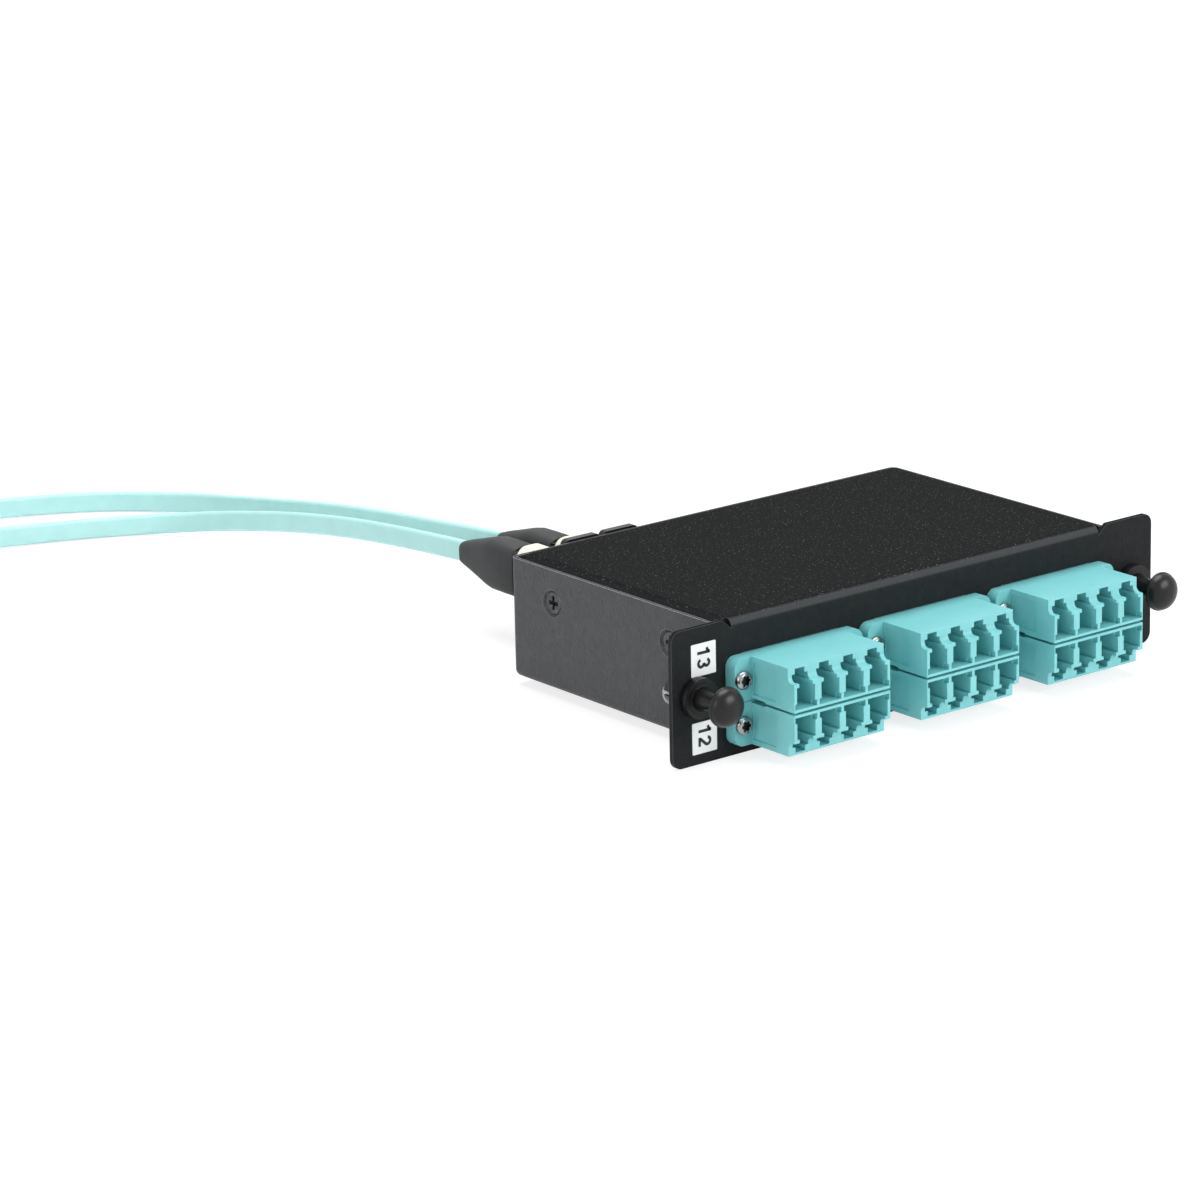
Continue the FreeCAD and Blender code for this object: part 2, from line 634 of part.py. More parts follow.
# Rear adapters for the multi-fibre trunks. In their own frame the rear wall's outside is at y = 0.
def make_mpo_adapter(label, x):
    body = new_body(label)
    wide, tall = size("mpo_body_width") / 2, size("mpo_body_height") / 2
    inside, reach = -size("mpo_inside"), size("mpo_reach")
    block(body, "Y", inside, reach, rectangle(-wide, wide, -tall, tall))
    lift, flange = size("mpo_flange_lift"), size("mpo_flange_height") / 2
    block(body, "Y", 0, "mpo_flange_thickness", rectangle(-wide, wide, lift - flange, lift + flange))
    soften(body, "mpo_flange_corner", lambda edge: straight(edge, Y_DIR)
           and near(abs(edge.BoundBox.Center.z - mm(lift)), flange))
    cavity = centred(size("coupling_width") + size("coupling_gap") * 2,
                     size("coupling_height") + size("coupling_gap") * 2)
    web = size("mpo_web") / 2
    cut(body, "Y", inside, -size("mpo_mating") - web, cavity)
    cut(body, "Y", web - "mpo_mating", reach, cavity)
    cut(body, "Y", -size("mpo_mating") - web, web - "mpo_mating",
        centred(size("ferrule_width") + 0.4, size("ferrule_height") + 0.4))
    put(body, x, face_y + "tray_depth", "trunk_height")


def centred(width, height):
    width, height = size(width), size(height)
    return rectangle(-width / 2, width / 2, -height / 2, height / 2)


def make_mpo_screws():
    """The heads of the rear adapters' screws, seated on their flanges."""
    seat = face_y + "tray_depth" + "mpo_flange_thickness"
    group("mpo_adapter_screws", [
        rod(point(x, seat, mpo_screw_height(sign)), Y_DIR, "mpo_screw_head_height", "mpo_screw_head")
        for x in trunk_x for sign in (-1, 1)])


# A multi-fibre plug. In its own frame the ferrule's end is at y = 0 and the cord leaves along +Y.
def plug_length():
    """From the ferrule's end to the boot."""
    return boot_base - "tray_depth" + "mpo_mating"


def sleeve_start():
    return size("mpo_mating") + "mpo_reach" + "coupling_visible" - "coupling_length"


def make_plug_body(label, placing):
    """The ferrule, a collar that fills the adapter, and the body that the coupling sleeve rides on."""
    body = new_body(label)
    web = size("mpo_web") / 2
    block(body, "Y", web, plug_length(), centred("plug_width", "plug_height"))
    block(body, "Y", web, sleeve_start() - "collar_gap",
          centred(size("coupling_width") + size("coupling_gap") * 2,
                  size("coupling_height") + size("coupling_gap") * 2))
    block(body, "Y", 0, web, centred("ferrule_width", "ferrule_height"))
    placing(body)


def make_coupling_sleeve(label, placing):
    body = new_body(label)
    start = sleeve_start()
    end = start + "coupling_length"
    block(body, "Y", start, end, centred("coupling_width", "coupling_height"))
    soften(body, "coupling_round", lambda edge: straight(edge, Y_DIR), "Chamfer")
    cut(body, "Y", start, end, centred(size("plug_width") + size("plug_gap") * 2,
                                       size("plug_height") + size("plug_gap") * 2))
    placing(body)


def make_boot(label, placing, straight_part="boot_straight", taper="boot_taper"):
    body = new_body(label)
    start = plug_length()
    middle = start + straight_part
    end = middle + taper
    wide, tall = size("boot_width") / 2, size("boot_height") / 2
    flat, upright = wide - "boot_round", tall - "boot_round"
    block(body, "Y", start, end, polygon([
        (-wide, -upright), (-flat, -tall), (flat, -tall), (wide, -upright),
        (wide, upright), (flat, tall), (-flat, tall), (-wide, upright)]))
    for sign in (-1, 1):
        tip_x, tip_z = size("boot_tip_width") / 2 * sign, size("boot_tip_height") / 2 * sign
        cut(body, "X", -wide, wide, polygon([(middle, tall * sign), (end, tip_z), (end, tall * sign)]))
        cut(body, "Z", -tall, tall, polygon([(wide * sign, middle), (tip_x, end), (wide * sign, end)]))
    placing(body)


def plugged_in(x, turn=FreeCAD.Rotation()):
    """Places a plug's piece in a rear adapter."""
    return lambda body: put(body, x, trunk_mating, "trunk_height", turn)


# Inside, the plugs of the pigtails sit in the adapters.
def make_inner_plugs(label, sign):
    """Square plug bodies that narrow to their fibres."""
    start = face_y + "adapter_inside" - "lc_nose"
    half, tip = mm("lc_body") / 2, mm("lc_tip") / 2
    shapes = []
    for x, height in port_places(sign):
        body = Part.makeBox(2 * half, mm("lc_body_length"), 2 * half, point(x, start, height) - V(half, 0, half))
        end = start + "lc_body_length"
        boot = Part.makeWedge(-half, 0, -half, -tip, -tip, half, mm("lc_boot_length"), half, tip, tip)
        boot.translate(point(x, end, height))
        shapes.append(body.fuse(boot).removeSplitter())
    group(label, shapes)


def flat_run(start, direction, length):
    """A straight level stretch of the flat cord."""
    thick, wide = mm("cord_thickness"), mm("cord_width")
    run = Part.makeBox(length, thick, wide, V(0, -thick / 2, -wide / 2))
    run.Placement = FreeCAD.Placement(start, FreeCAD.Rotation(X_DIR, direction))
    return run


# The trunk cords. Each leaves its boot, droops to the surface and ends in a tied coil with a plug.
NEAR_ROUTE = [(-33.5, 90, 14.2), (-33.5, 120, 10.4), (-34.5, 148, 5.4), (-42, 167, 2.3), (-62, 177, 2.3),
              (-88, 184, 2.9), (-122, 191, 2.9)]
FAR_ROUTE = [(-23.5, 92, 13.4), (-23.5, 124, 10.0), (-24.6, 156, 5.2), (-29.5, 181, 2.3), (-47, 197, 2.3),
             (-75, 206, 2.9), (-97, 211.5, 2.9)]


class Coil:
    """Turns of the flat cord on edge, in two layers, entered along the last run of its route."""

    def __init__(self, route, side, turns):
        last, entry = route[-2:]
        self.along = (entry - last).normalize()
        self.side = side
        rows, pitch = mm("coil_rows"), mm("turn_pitch")
        self.outer_turn = mm("coil_radius") + pitch * (rows - 1) / 2
        self.outer = self.outer_turn + mm("cord_thickness") / 2
        self.inner = self.outer - pitch * (rows - 1) - mm("cord_thickness")
        self.entry = entry
        self.centre = entry + self.along.cross(Z_DIR) * self.outer_turn * -side
        self.low = mm("coil_lift")
        self.height = 2 * mm("cord_width")
        self.turned = math.radians(360 * (turns % 1)) * side
        inner_side = self.outer_turn - mm("cord_thickness") / 2
        self.stub = math.sqrt(self.outer ** 2 - inner_side ** 2) + 0.7

    def exit(self):
        """Where the far end leaves, as high as the plug that stands on its narrow side, and its direction."""
        turn = FreeCAD.Rotation(Z_DIR, math.degrees(self.turned))
        arm = turn.multVec(self.entry - self.centre)
        place = self.centre + arm
        place.z = mm("coupling_height") / 2
        return place, turn.multVec(self.along)

    def shape(self):
        base = V(self.centre.x, self.centre.y, self.low)
        ring = Part.makeCylinder(self.outer, self.height, base).cut(
            Part.makeCylinder(self.inner, self.height, base))
        way_in = flat_run(self.entry, self.along * -1, self.stub)
        way_out = flat_run(*self.exit(), self.stub)
        return ring.fuse([way_in, way_out]).removeSplitter()

    def tie(self, angle):
        """A closed band round the turns."""
        thick = mm("tie_thickness")
        top = self.low + self.height

        def sector(inner, outer, low, high):
            start = V(self.centre.x, self.centre.y, low)
            whole = Part.makeCylinder(outer, high - low, start, Z_DIR, mm("tie_angle"))
            return whole.cut(Part.makeCylinder(inner, high - low, start))

        band = sector(self.inner - thick, self.outer + thick, self.low - thick, top + thick)
        band = band.cut(sector(self.inner, self.outer, self.low, top))
        band.rotate(self.centre, Z_DIR, angle)
        return band


def cord_tube(label, points):
    """A flat cord on edge, along straight runs joined by tangent arcs."""
    radii, edges, reached = [], [], points[0]
    for before, corner, after in zip(points, points[1:], points[2:]):
        arriving, leaving = (corner - before), (after - corner)
        half_angle = arriving.getAngle(leaving) / 2
        trim = 0.45 * min(arriving.Length, leaving.Length)
        radii.append(trim / math.tan(half_angle))
        arriving.normalize()
        leaving.normalize()
        start, end = corner - arriving * trim, corner + leaving * trim
        inward = (leaving - arriving).normalize()
        middle = corner + inward * (radii[-1] / math.cos(half_angle) - radii[-1])
        edges += [Part.LineSegment(reached, start).toShape(), Part.Arc(start, middle, end).toShape()]
        reached = end
    edges.append(Part.LineSegment(reached, points[-1]).toShape())
    path = Part.Wire(edges)
    half_w, half_h = mm("cord_thickness") / 2, mm("cord_width") / 2
    corners = [points[0] + V(x, 0, z) for x, z in (
        (-half_w, -half_h), (half_w, -half_h), (half_w, half_h), (-half_w, half_h), (-half_w, -half_h))]
    sweep = Part.BRepOffsetAPI.MakePipeShell(path)
    sweep.setBiNormalMode(Z_DIR)
    sweep.add(Part.makePolygon(corners))
    sweep.build()
    sweep.makeSolid()
    tube = sweep.shape()
    wanted = 4 * half_w * half_h * path.Length
    print(f"{label}: length {path.Length:.1f}, radii {[round(value, 1) for value in radii]}, "
          f"volume {tube.Volume / wanted:.4f} of its section times its length")
    group(label, [tube])


def make_trunk_end(name, trunk, route, side, turns, tie_at):
    """The free part of a trunk: cord, coil, tie and the plug at its far end."""
    places = [point(trunk, face_y + boot_end, "trunk_height")] + [V(*place) for place in route]
    coil = Coil(places, side, turns)
    cord_tube(f"cord_{name}", places[:-1] + [coil.entry - coil.along * coil.stub])
    group(f"coil_{name}", [coil.shape()])
    group(f"tie_{name}", [coil.tie(tie_at)])

    start, direction = coil.exit()
    start = start + direction * coil.stub
    boot_tip = start + direction * mm("far_lead")
    group(f"far_lead_{name}", [flat_run(start, direction, mm("far_lead"))])
    length = mm(plug_length() + "boot_straight" + "boot_taper")
    mating = boot_tip + direction * length
    turn = FreeCAD.Rotation(Y_DIR, direction * -1)

    def placing(body):
        body.Placement = FreeCAD.Placement(mating, turn)

    make_plug_body(f"far_plug_{name}", placing)
    make_coupling_sleeve(f"far_sleeve_{name}", placing)
    make_boot(f"far_boot_{name}", placing)


def check_pieces():
    for item in doc.Objects:
        if "Invalid" in item.State or "Error" in item.State:
            raise RuntimeError(f"{item.Label} failed: {item.State}")
    for item in pieces:
        if item.Shape.isNull() or not item.Shape.isValid() or not item.Shape.Solids:
            raise RuntimeError(f"{item.Label} has no sound solid")


def main():
    make_cover()
    make_tray()
    upright, inverted = FreeCAD.Rotation(), FreeCAD.Rotation(Y_DIR, 180)
    for column, x in zip(("left", "middle", "right"), column_x):
        make_adapter(f"lc_adapter_upper_{column}", x, upper_floor, upright)
        make_adapter(f"lc_adapter_lower_{column}", x, lower_floor, inverted)
    make_flange_screws()
    make_side_fasteners()
    for side, sign in (("left", -1), ("right", 1)):
        make_grommet(f"grommet_{side}", size("plunger_spacing") / 2 * sign)
        make_plunger(f"plunger_{side}", size("plunger_spacing") / 2 * sign)

    backwards = FreeCAD.Rotation(Z_DIR, 180)
    for side, x in zip(("left", "right"), trunk_x):
        make_mpo_adapter(f"mpo_adapter_{side}", x)
        make_plug_body(f"mpo_plug_{side}", plugged_in(x))
        make_coupling_sleeve(f"coupling_sleeve_{side}", plugged_in(x))
        make_boot(f"boot_{side}", plugged_in(x))
        make_plug_body(f"inner_plug_{side}", plugged_in(x, backwards))
        make_boot(f"inner_boot_{side}", plugged_in(x, backwards), "inner_boot_straight", "inner_boot_taper")
    make_mpo_screws()
    make_inner_plugs("inner_lc_plugs_upper", 1)
    make_inner_plugs("inner_lc_plugs_lower", -1)
    make_trunk_end("near", trunk_x[0], NEAR_ROUTE, 1, 4.2, 100)
    make_trunk_end("far", trunk_x[1], FAR_ROUTE, -1, 4.05, 180)

    doc.recompute()
    check_pieces()
    os.makedirs("parts", exist_ok=True)
    for item in pieces:
        item.Shape.exportStep(f"parts/{item.Label}.step")
        print(f"{item.Label}: {len(item.Shape.Solids)} solid(s), {item.Shape.Volume:.0f} mm3")


main()
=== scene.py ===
import math

import bmesh
import bpy
from mathutils import Matrix, Quaternion, Vector


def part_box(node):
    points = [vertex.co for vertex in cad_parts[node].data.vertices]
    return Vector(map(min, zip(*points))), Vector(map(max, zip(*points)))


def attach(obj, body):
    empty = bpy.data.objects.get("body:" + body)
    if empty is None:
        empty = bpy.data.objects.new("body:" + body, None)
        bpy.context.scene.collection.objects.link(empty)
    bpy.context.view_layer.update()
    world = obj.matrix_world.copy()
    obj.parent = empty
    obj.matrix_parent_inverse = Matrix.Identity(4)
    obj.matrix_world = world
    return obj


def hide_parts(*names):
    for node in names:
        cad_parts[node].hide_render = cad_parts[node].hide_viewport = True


# Dresses the packed fibre cassette: finishes, fasteners, plungers, port labels, plugs and flat trunk cords.
# Lengths are in metres, unless a comment says millimetres.

MM = 0.001
X_AXIS, Y_AXIS, Z_AXIS = Vector((1, 0, 0)), Vector((0, 1, 0)), Vector((0, 0, 1))

# Camera: to the left of the front and above it.
CAMERA_PLACE = Vector((-0.63414, -0.74968, 0.30203))
CAMERA_AZIMUTH = math.radians(-38.12)
CAMERA_ELEVATION = math.radians(16.43)
CAMERA_ROLL = math.radians(-1.23)
CAMERA_LENS = 147.0

# The world's light on the object, and the floor's size, level and glow.
WORLD_LIGHT = 0.38
FLOOR_HALF = 4.0
FLOOR_LEVEL = -0.1 * MM
FLOOR_GLOW = 0.78

# Trunk cords: flat, on edge.
CORD_WIDTH = 4.6 * MM
CORD_THICKNESS = 2.0 * MM
CORD_CORNER = 0.8 * MM
# Coils: two layers of turns beside each other, with the change between the layers in a share of a turn.
TURN_PITCH = 2.1 * MM
TURNS_BESIDE = 3
COIL_TURNS = {"near": 4.2, "far": 4.05}
COIL_LIFT = 0.6 * MM
COIL_RADIUS = 25.4 * MM
OUTER_TURN = COIL_RADIUS + TURN_PITCH * (TURNS_BESIDE - 1) / 2
POINTS_PER_TURN = 16
LAYER_CHANGE = 0.25
# Past a coil: how far the cord clears it, the lead to the far plug's boot, and the share of it that lies straight.
STUB_CLEARANCE = 0.7 * MM
FAR_LEAD = 12.0 * MM
FAR_LEAD_SETTLED = 0.6
FAR_PLUG_HEIGHT = 12.4 * MM
# A route: its boot, the side that its coil turns to, and its points in millimetres, which repeat the CAD's.
ROUTES = {
    "near": ("left", 1, [
        (-33.5, 90, 14.2), (-33.5, 120, 10.4), (-34.5, 148, 5.4), (-42, 167, 2.3), (-62, 177, 2.3),
        (-88, 184, 2.9), (-122, 191, 2.9)]),
    "far": ("right", -1, [
        (-23.5, 92, 13.4), (-23.5, 124, 10.0), (-24.6, 156, 5.2), (-29.5, 181, 2.3), (-47, 197, 2.3),
        (-75, 206, 2.9), (-97, 211.5, 2.9)]),
}

# The coils' ties, with angles in degrees. The lap is the strap's free end on top.
TIE_START = {"near": 100, "far": 180}
TIE_ANGLE = 14
TIE_STRIPS = 8
TIE_THICKNESS = 0.5 * MM
TIE_SKIN = 0.42 * MM
TIE_GAP = 0.05 * MM
TIE_CORNER = 0.6 * MM
TIE_LAP_SHARE = 0.72
TIE_LAP_STRIPS = 6
TIE_LAP_LIFT = 0.12 * MM

# Boots and coupling sleeves, in millimetres. A section is width, height and corner radius, and a boot's has its
# distance from the base before them.
BOOT_LENGTH = 20.7
BOOT_SECTIONS = [
    (0, 7.0, 10.8, 2.3), (0.35, 7.5, 11.3, 2.6), (5.5, 7.5, 11.3, 2.6), (8.6, 7.45, 11.2, 2.6),
    (11.0, 7.0, 10.3, 2.5), (14.0, 6.2, 8.6, 2.3), (17.5, 5.3, 6.65, 2.0), (19.7, 4.75, 5.4, 1.7),
    (20.4, 4.5, 4.9, 1.5), (BOOT_LENGTH, 4.1, 4.5, 1.3)]
SLEEVE_BORE = (6.4, 9.8, 0.5)
SLEEVE_MOUTH = (6.5, 10.0, 0.6)
SLEEVE_OUTSIDE = (7.6, 12.4, 2.6)
SLEEVE_FRONT_LIP = (7.2, 12.0, 2.4)
SLEEVE_BACK_LIP = (7.3, 12.1, 2.45)
SLEEVE_GROOVE = (7.3, 12.1, 2.45)
SLEEVE_BORE_SHOWN = 0.8
SLEEVE_LIP = 0.2
RIDGES = 4
RIDGE_START = 1.2
RIDGE_PITCH = 1.3
GROOVE_WIDTH = 0.6
GROOVE_SLOPE = 0.15

# Screw heads, as rows of (radius, height) in shares of the head's. Two sizes for a radius are a recess's outline.
# The number after the rows counts the rings, with a shank's, up to the one where the recess's painted shade
# begins.
CAD_SIDES = 12
FLAT_SHARE = math.cos(math.pi / CAD_SIDES)
FLANGE_SCREW = [
    (0.97, 0), (1, 0.12), (1, 0.42), (0.95, 0.68), (0.83, 0.88), (0.7, 1),
    ((0.56, 0.095), 1), ((0.52, 0.09), 0.93), ((0.5, 0.09), 0.35), (0.12, 0.3)], 7
REAR_SCREW = [
    (0.97, 0), (1, 0.15), (1, 0.4), (0.93, 0.72), (0.78, 0.95), (0.66, 1),
    ((0.56, 0.16), 1), ((0.52, 0.13), 0.93), ((0.36, 0.1), 0.3), (0.05, 0.25)], 7
SIDE_SCREW = [
    (0.5, -0.42), (0.84, -0.14), (0.86, -0.06), (0.82, -0.03),
    ((0.58, 0.17), -0.03), ((0.54, 0.14), -0.07), ((0.4, 0.1), -0.34), (0.05, -0.42)], 6
SHANK_SHARE = 0.5
RECESS_STEPS = 72
RIVET_TIP = 0.08
RIVET_STEPS = 8

# Panel plungers. Rows are (share of the radius, height in millimetres from the place that the name gives).
SHAFT_RADIUS = 2.2 * MM
SHAFT_FROM_END = [(0.9, 0), (1, -0.2)]
SHAFT_FROM_GROMMET = [(1, -0.5), (0.86, -2.4)]
NECK_FROM_KNOB = [(0.72, 1.0), (0.8, 0.3), (1.1, 0.05)]
KNOB_RIM = 0.8 * MM
KNOB_FROM_BACK = [(0.93, 0), (0.985, -0.08), (1, -0.25)]
KNOB_FROM_RIM = [(1, 0.2), (0.985, 0.05)]
KNOB_DOME = 2.4 * MM
DOME_SHARE = 0.955
DOME_TIP = 0.03
DOME_STEPS = 9
PIN_STEPS = 64
GROMMET_RIM = [
    (1.005, 0.5), ((0.99, 0.03), 0.3), ((0.93, 0.045), 0), ((0.8, 0.03), 0), (0.72, 0.32), (0.68, 0.32),
    (0.66, -0.06), (0.6, -0.06), (0.565, 0.1)]
GROMMET_LIFT = 0.02 * MM
GROMMET_SUNK = 0.3 * MM
GROMMET_RIBS = 40
GROMMET_STEPS = 240

# Port labels: lowest and highest edge of each, and the two sides, in millimetres.
LABELS = {"13": (18.0, 24.6), "12": (2.15, 8.6)}
LABEL_SIDES = (-59.85, -53.65)
LABEL_CORNER = 0.25 * MM
# A label's skin: how far it stands off the faceplate and how much smaller it is there, in millimetres.
LABEL_SKIN = ((-0.02, 0), (0.07, 0), (0.1, 0.04))
DIGIT_LIFT = 0.125 * MM
DIGIT_HEIGHT = 3.2 * MM
DIGIT_ADVANCE = 2.28 * MM
DIGIT_SHIFT = 0.05
DIGIT_STROKE = 0.62 * MM

# Finishes: the sizes of their patterns, and the radii over which edges get a painted highlight or look rounded.
DRIFT_SIZE, SPECK_SIZE, GRAIN_SIZE, PEEL_SIZE = 2.0 * MM, 0.4 * MM, 1.0 * MM, 0.8 * MM
SPECK_LEVELS = (0.66, 0.80)
PEEL_LEVELS = (0.56, 0.72)
EDGE_HIGHLIGHT_RADIUS = 0.22 * MM
EDGE_HIGHLIGHT_COSINES = (0.97, 0.80)
PAINT_RADIUS = 0.15 * MM
PAINT_ROUGHNESS = (0.4, 0.54)
UPWARD_DULLNESS = 0.46
TRANSLUCENT_RADII = (0.6, 1.0, 1.0)


def linear(code):
    """A colour in linear light from its six-figure screen code."""
    channels = [int(code[i:i + 2], 16) / 255 for i in (0, 2, 4)]
    return tuple(c / 12.92 if c <= 0.04045 else ((c + 0.055) / 1.055) ** 2.4 for c in channels) + (1.0,)


# Materials.
class Nodes:
    """A material's node tree, with short calls to add and join nodes."""

    def __init__(self, name):
        self.material = bpy.data.materials.new(name)
        self.material.use_nodes = True
        self.tree = self.material.node_tree
        self.shader = self.tree.nodes["Principled BSDF"]
        self.place = self.add("ShaderNodeTexCoord").outputs["Object"]

    def add(self, kind, **values):
        node = self.tree.nodes.new(kind)
        for key, value in values.items():
            if key in node.inputs:
                node.inputs[key].default_value = value
            else:
                setattr(node, key, value)
        return node

    def join(self, output, socket):
        self.tree.links.new(output, socket)

    def set(self, **values):
        for key, value in values.items():
            self.shader.inputs[key.replace("_", " ")].default_value = value

    def noise(self, size, detail=2.0):
        """A noise whose features are about the given size."""
        node = self.add("ShaderNodeTexNoise", Scale=1 / size, Detail=detail)
        self.join(self.place, node.inputs["Vector"])
        return node.outputs["Fac"]

    def ramp(self, value, *stops):
        """A colour ramp from (position, colour) stops."""
        node = self.add("ShaderNodeValToRGB")
        elements = node.color_ramp.elements
        while len(elements) < len(stops):
            elements.new(0.5)
        for element, (position, colour) in zip(elements, stops):
            element.position = position
            element.color = colour
        self.join(value, node.inputs["Fac"])
        return node.outputs["Color"]

    def map(self, value, **ends):
        """A value moved from one range to another, from nought and one where no end is given."""
        node = self.add("ShaderNodeMapRange")
        for key, end in ends.items():
            node.inputs[key.replace("_", " ")].default_value = end
        self.join(value, node.inputs["Value"])
        return node.outputs["Result"]

    def levels(self, value, nought, one):
        """Nought at one value and beyond it, one at the other and beyond that."""
        return self.map(value, From_Min=nought, From_Max=one)

    def times(self, first, second):
        node = self.add("ShaderNodeMath", operation="MULTIPLY")
        self.join(first, node.inputs[0])
        self.join(second, node.inputs[1])
        return node.outputs[0]

    def mix(self, amount, first, second):
        """A blend from a colour output to a fixed colour."""
        node = self.add("ShaderNodeMixRGB", Color2=second)
        self.join(amount, node.inputs["Fac"])
        self.join(first, node.inputs["Color1"])
        return node.outputs["Color"]

    def edges(self, radius):
        """One along the edges of the piece, nought on its faces."""
        bevel = self.add("ShaderNodeBevel", Radius=radius, samples=6)
        dot = self.add("ShaderNodeVectorMath", operation="DOT_PRODUCT")
        self.join(bevel.outputs["Normal"], dot.inputs[0])
        self.join(self.add("ShaderNodeNewGeometry").outputs["Normal"], dot.inputs[1])
        return self.levels(dot.outputs["Value"], *EDGE_HIGHLIGHT_COSINES)

    def facing(self, axis):
        """How far the face looks along an axis of the object, from minus one to one."""
        split = self.add("ShaderNodeSeparateXYZ")
        self.join(self.add("ShaderNodeTexCoord").outputs["Normal"], split.inputs[0])
        return split.outputs[axis]

    def upward(self):
        """One where the face looks up, nought where it stands."""
        return self.levels(self.facing("Z"), 0.4, 0.95)

    def front_bend(self):
        """One on a bend between a top and a front face: the mask of the painted highlight on the bend."""
        rising = self.times(self.levels(self.facing("Z"), 0.15, 0.4),
                            self.levels(self.facing("Z"), 0.97, 0.8))
        return self.times(rising, self.levels(self.facing("Y"), -0.2, -0.35))

    def colour(self, output):
        self.join(output, self.shader.inputs["Base Color"])

    def roughness(self, value, low, high):
        self.join(self.map(value, To_Min=low, To_Max=high), self.shader.inputs["Roughness"])

    def bump(self, value, height, edge=0.0):
        """Relief of the given height, over edges that are rounded by the given radius."""
        node = self.add("ShaderNodeBump", Distance=height, Strength=1.0)
        self.join(value, node.inputs["Height"])
        if edge:
            bevel = self.add("ShaderNodeBevel", Radius=edge, samples=4)
            self.join(bevel.outputs["Normal"], node.inputs["Normal"])
        self.join(node.outputs["Normal"], self.shader.inputs["Normal"])


def powder_coat(name, base, drifted, top, speck, bend_highlight, edge_highlight, gloss, relief):
    """Orange peel, with a painted highlight along edges and on the front bend. Faces that look up are dull and
    painted darker as painted shade, with light specks.
    """
    nodes = Nodes(name)
    upward = nodes.upward()
    paint = nodes.ramp(nodes.noise(DRIFT_SIZE, 3.0), (0.3, linear(base)), (0.75, linear(drifted)))
    # Upward faces take the top colour as painted shade, and the front bend takes the bend colour as a painted
    # highlight.
    paint = nodes.mix(nodes.front_bend(), nodes.mix(upward, paint, linear(top)), linear(bend_highlight))
    specks = nodes.times(nodes.levels(nodes.noise(SPECK_SIZE, 1.0), *SPECK_LEVELS), upward)
    paint = nodes.mix(specks, paint, linear(speck))
    # Edges take the edge colour, a painted highlight.
    nodes.colour(nodes.mix(nodes.edges(EDGE_HIGHLIGHT_RADIUS), paint, linear(edge_highlight)))
    low, high = PAINT_ROUGHNESS
    dull = nodes.add("ShaderNodeMath", operation="MULTIPLY_ADD")
    dull.inputs[1].default_value = UPWARD_DULLNESS
    nodes.join(upward, dull.inputs[0])
    nodes.join(nodes.map(nodes.noise(GRAIN_SIZE), To_Min=low, To_Max=high), dull.inputs[2])
    nodes.join(dull.outputs[0], nodes.shader.inputs["Roughness"])
    nodes.set(Specular_IOR_Level=gloss)
    nodes.bump(nodes.levels(nodes.noise(PEEL_SIZE, 1.0), *PEEL_LEVELS), relief, PAINT_RADIUS)
    return nodes.material


def moulded_plastic(name, base, deep, roughness, edge, texture, glow=0.0, gloss=0.5):
    """Moulded plastic: a faint colour drift and the fine finish of the mould."""
    nodes = Nodes(name)
    nodes.colour(nodes.ramp(nodes.noise(6.0 * MM), (0.3, linear(deep)), (0.7, linear(base))))
    nodes.roughness(nodes.noise(1.2 * MM), roughness - 0.05, roughness + 0.06)
    nodes.bump(nodes.noise(0.5 * MM, 3.0), texture, edge)
    nodes.set(Specular_IOR_Level=gloss)
    if glow:
        nodes.set(Subsurface_Weight=glow, Subsurface_Scale=0.6 * MM, Subsurface_Radius=TRANSLUCENT_RADII)
    return nodes.material


def plated_steel(name, base, dark, roughness):
    """Plated steel with a finely clouded colour and polish."""
    nodes = Nodes(name)
    nodes.colour(nodes.ramp(nodes.noise(0.9 * MM), (0.35, linear(dark)), (0.65, linear(base))))
    nodes.set(Metallic=1.0)
    nodes.roughness(nodes.noise(0.4 * MM), roughness - 0.06, roughness + 0.1)
    nodes.bump(nodes.noise(0.3 * MM, 3.0), 0.012 * MM, 0.08 * MM)
    return nodes.material


def extruded_jacket(name, base, deep):
    """The cord's soft jacket: slightly translucent, with a faint colour drift and faint ripples."""
    nodes = Nodes(name)
    nodes.colour(nodes.ramp(nodes.noise(4.0 * MM), (0.3, linear(deep)), (0.7, linear(base))))
    nodes.roughness(nodes.noise(1.0 * MM), 0.42, 0.56)
    nodes.bump(nodes.noise(1.2 * MM), 0.015 * MM)
    nodes.set(Subsurface_Weight=0.15, Subsurface_Scale=0.8 * MM, Subsurface_Radius=TRANSLUCENT_RADII)
    return nodes.material


def woven_strap(name, base, light):
    """Hook-and-loop strap: dull, with fine ribs."""
    nodes = Nodes(name)
    wave = nodes.add("ShaderNodeTexWave", Scale=900.0, Distortion=0.6)
    nodes.join(nodes.place, wave.inputs["Vector"])
    nodes.colour(nodes.ramp(wave.outputs["Fac"], (0.2, linear(base)), (0.9, linear(light))))
    nodes.roughness(wave.outputs["Fac"], 0.8, 0.95)
    nodes.bump(wave.outputs["Fac"], 0.08 * MM)
    return nodes.material


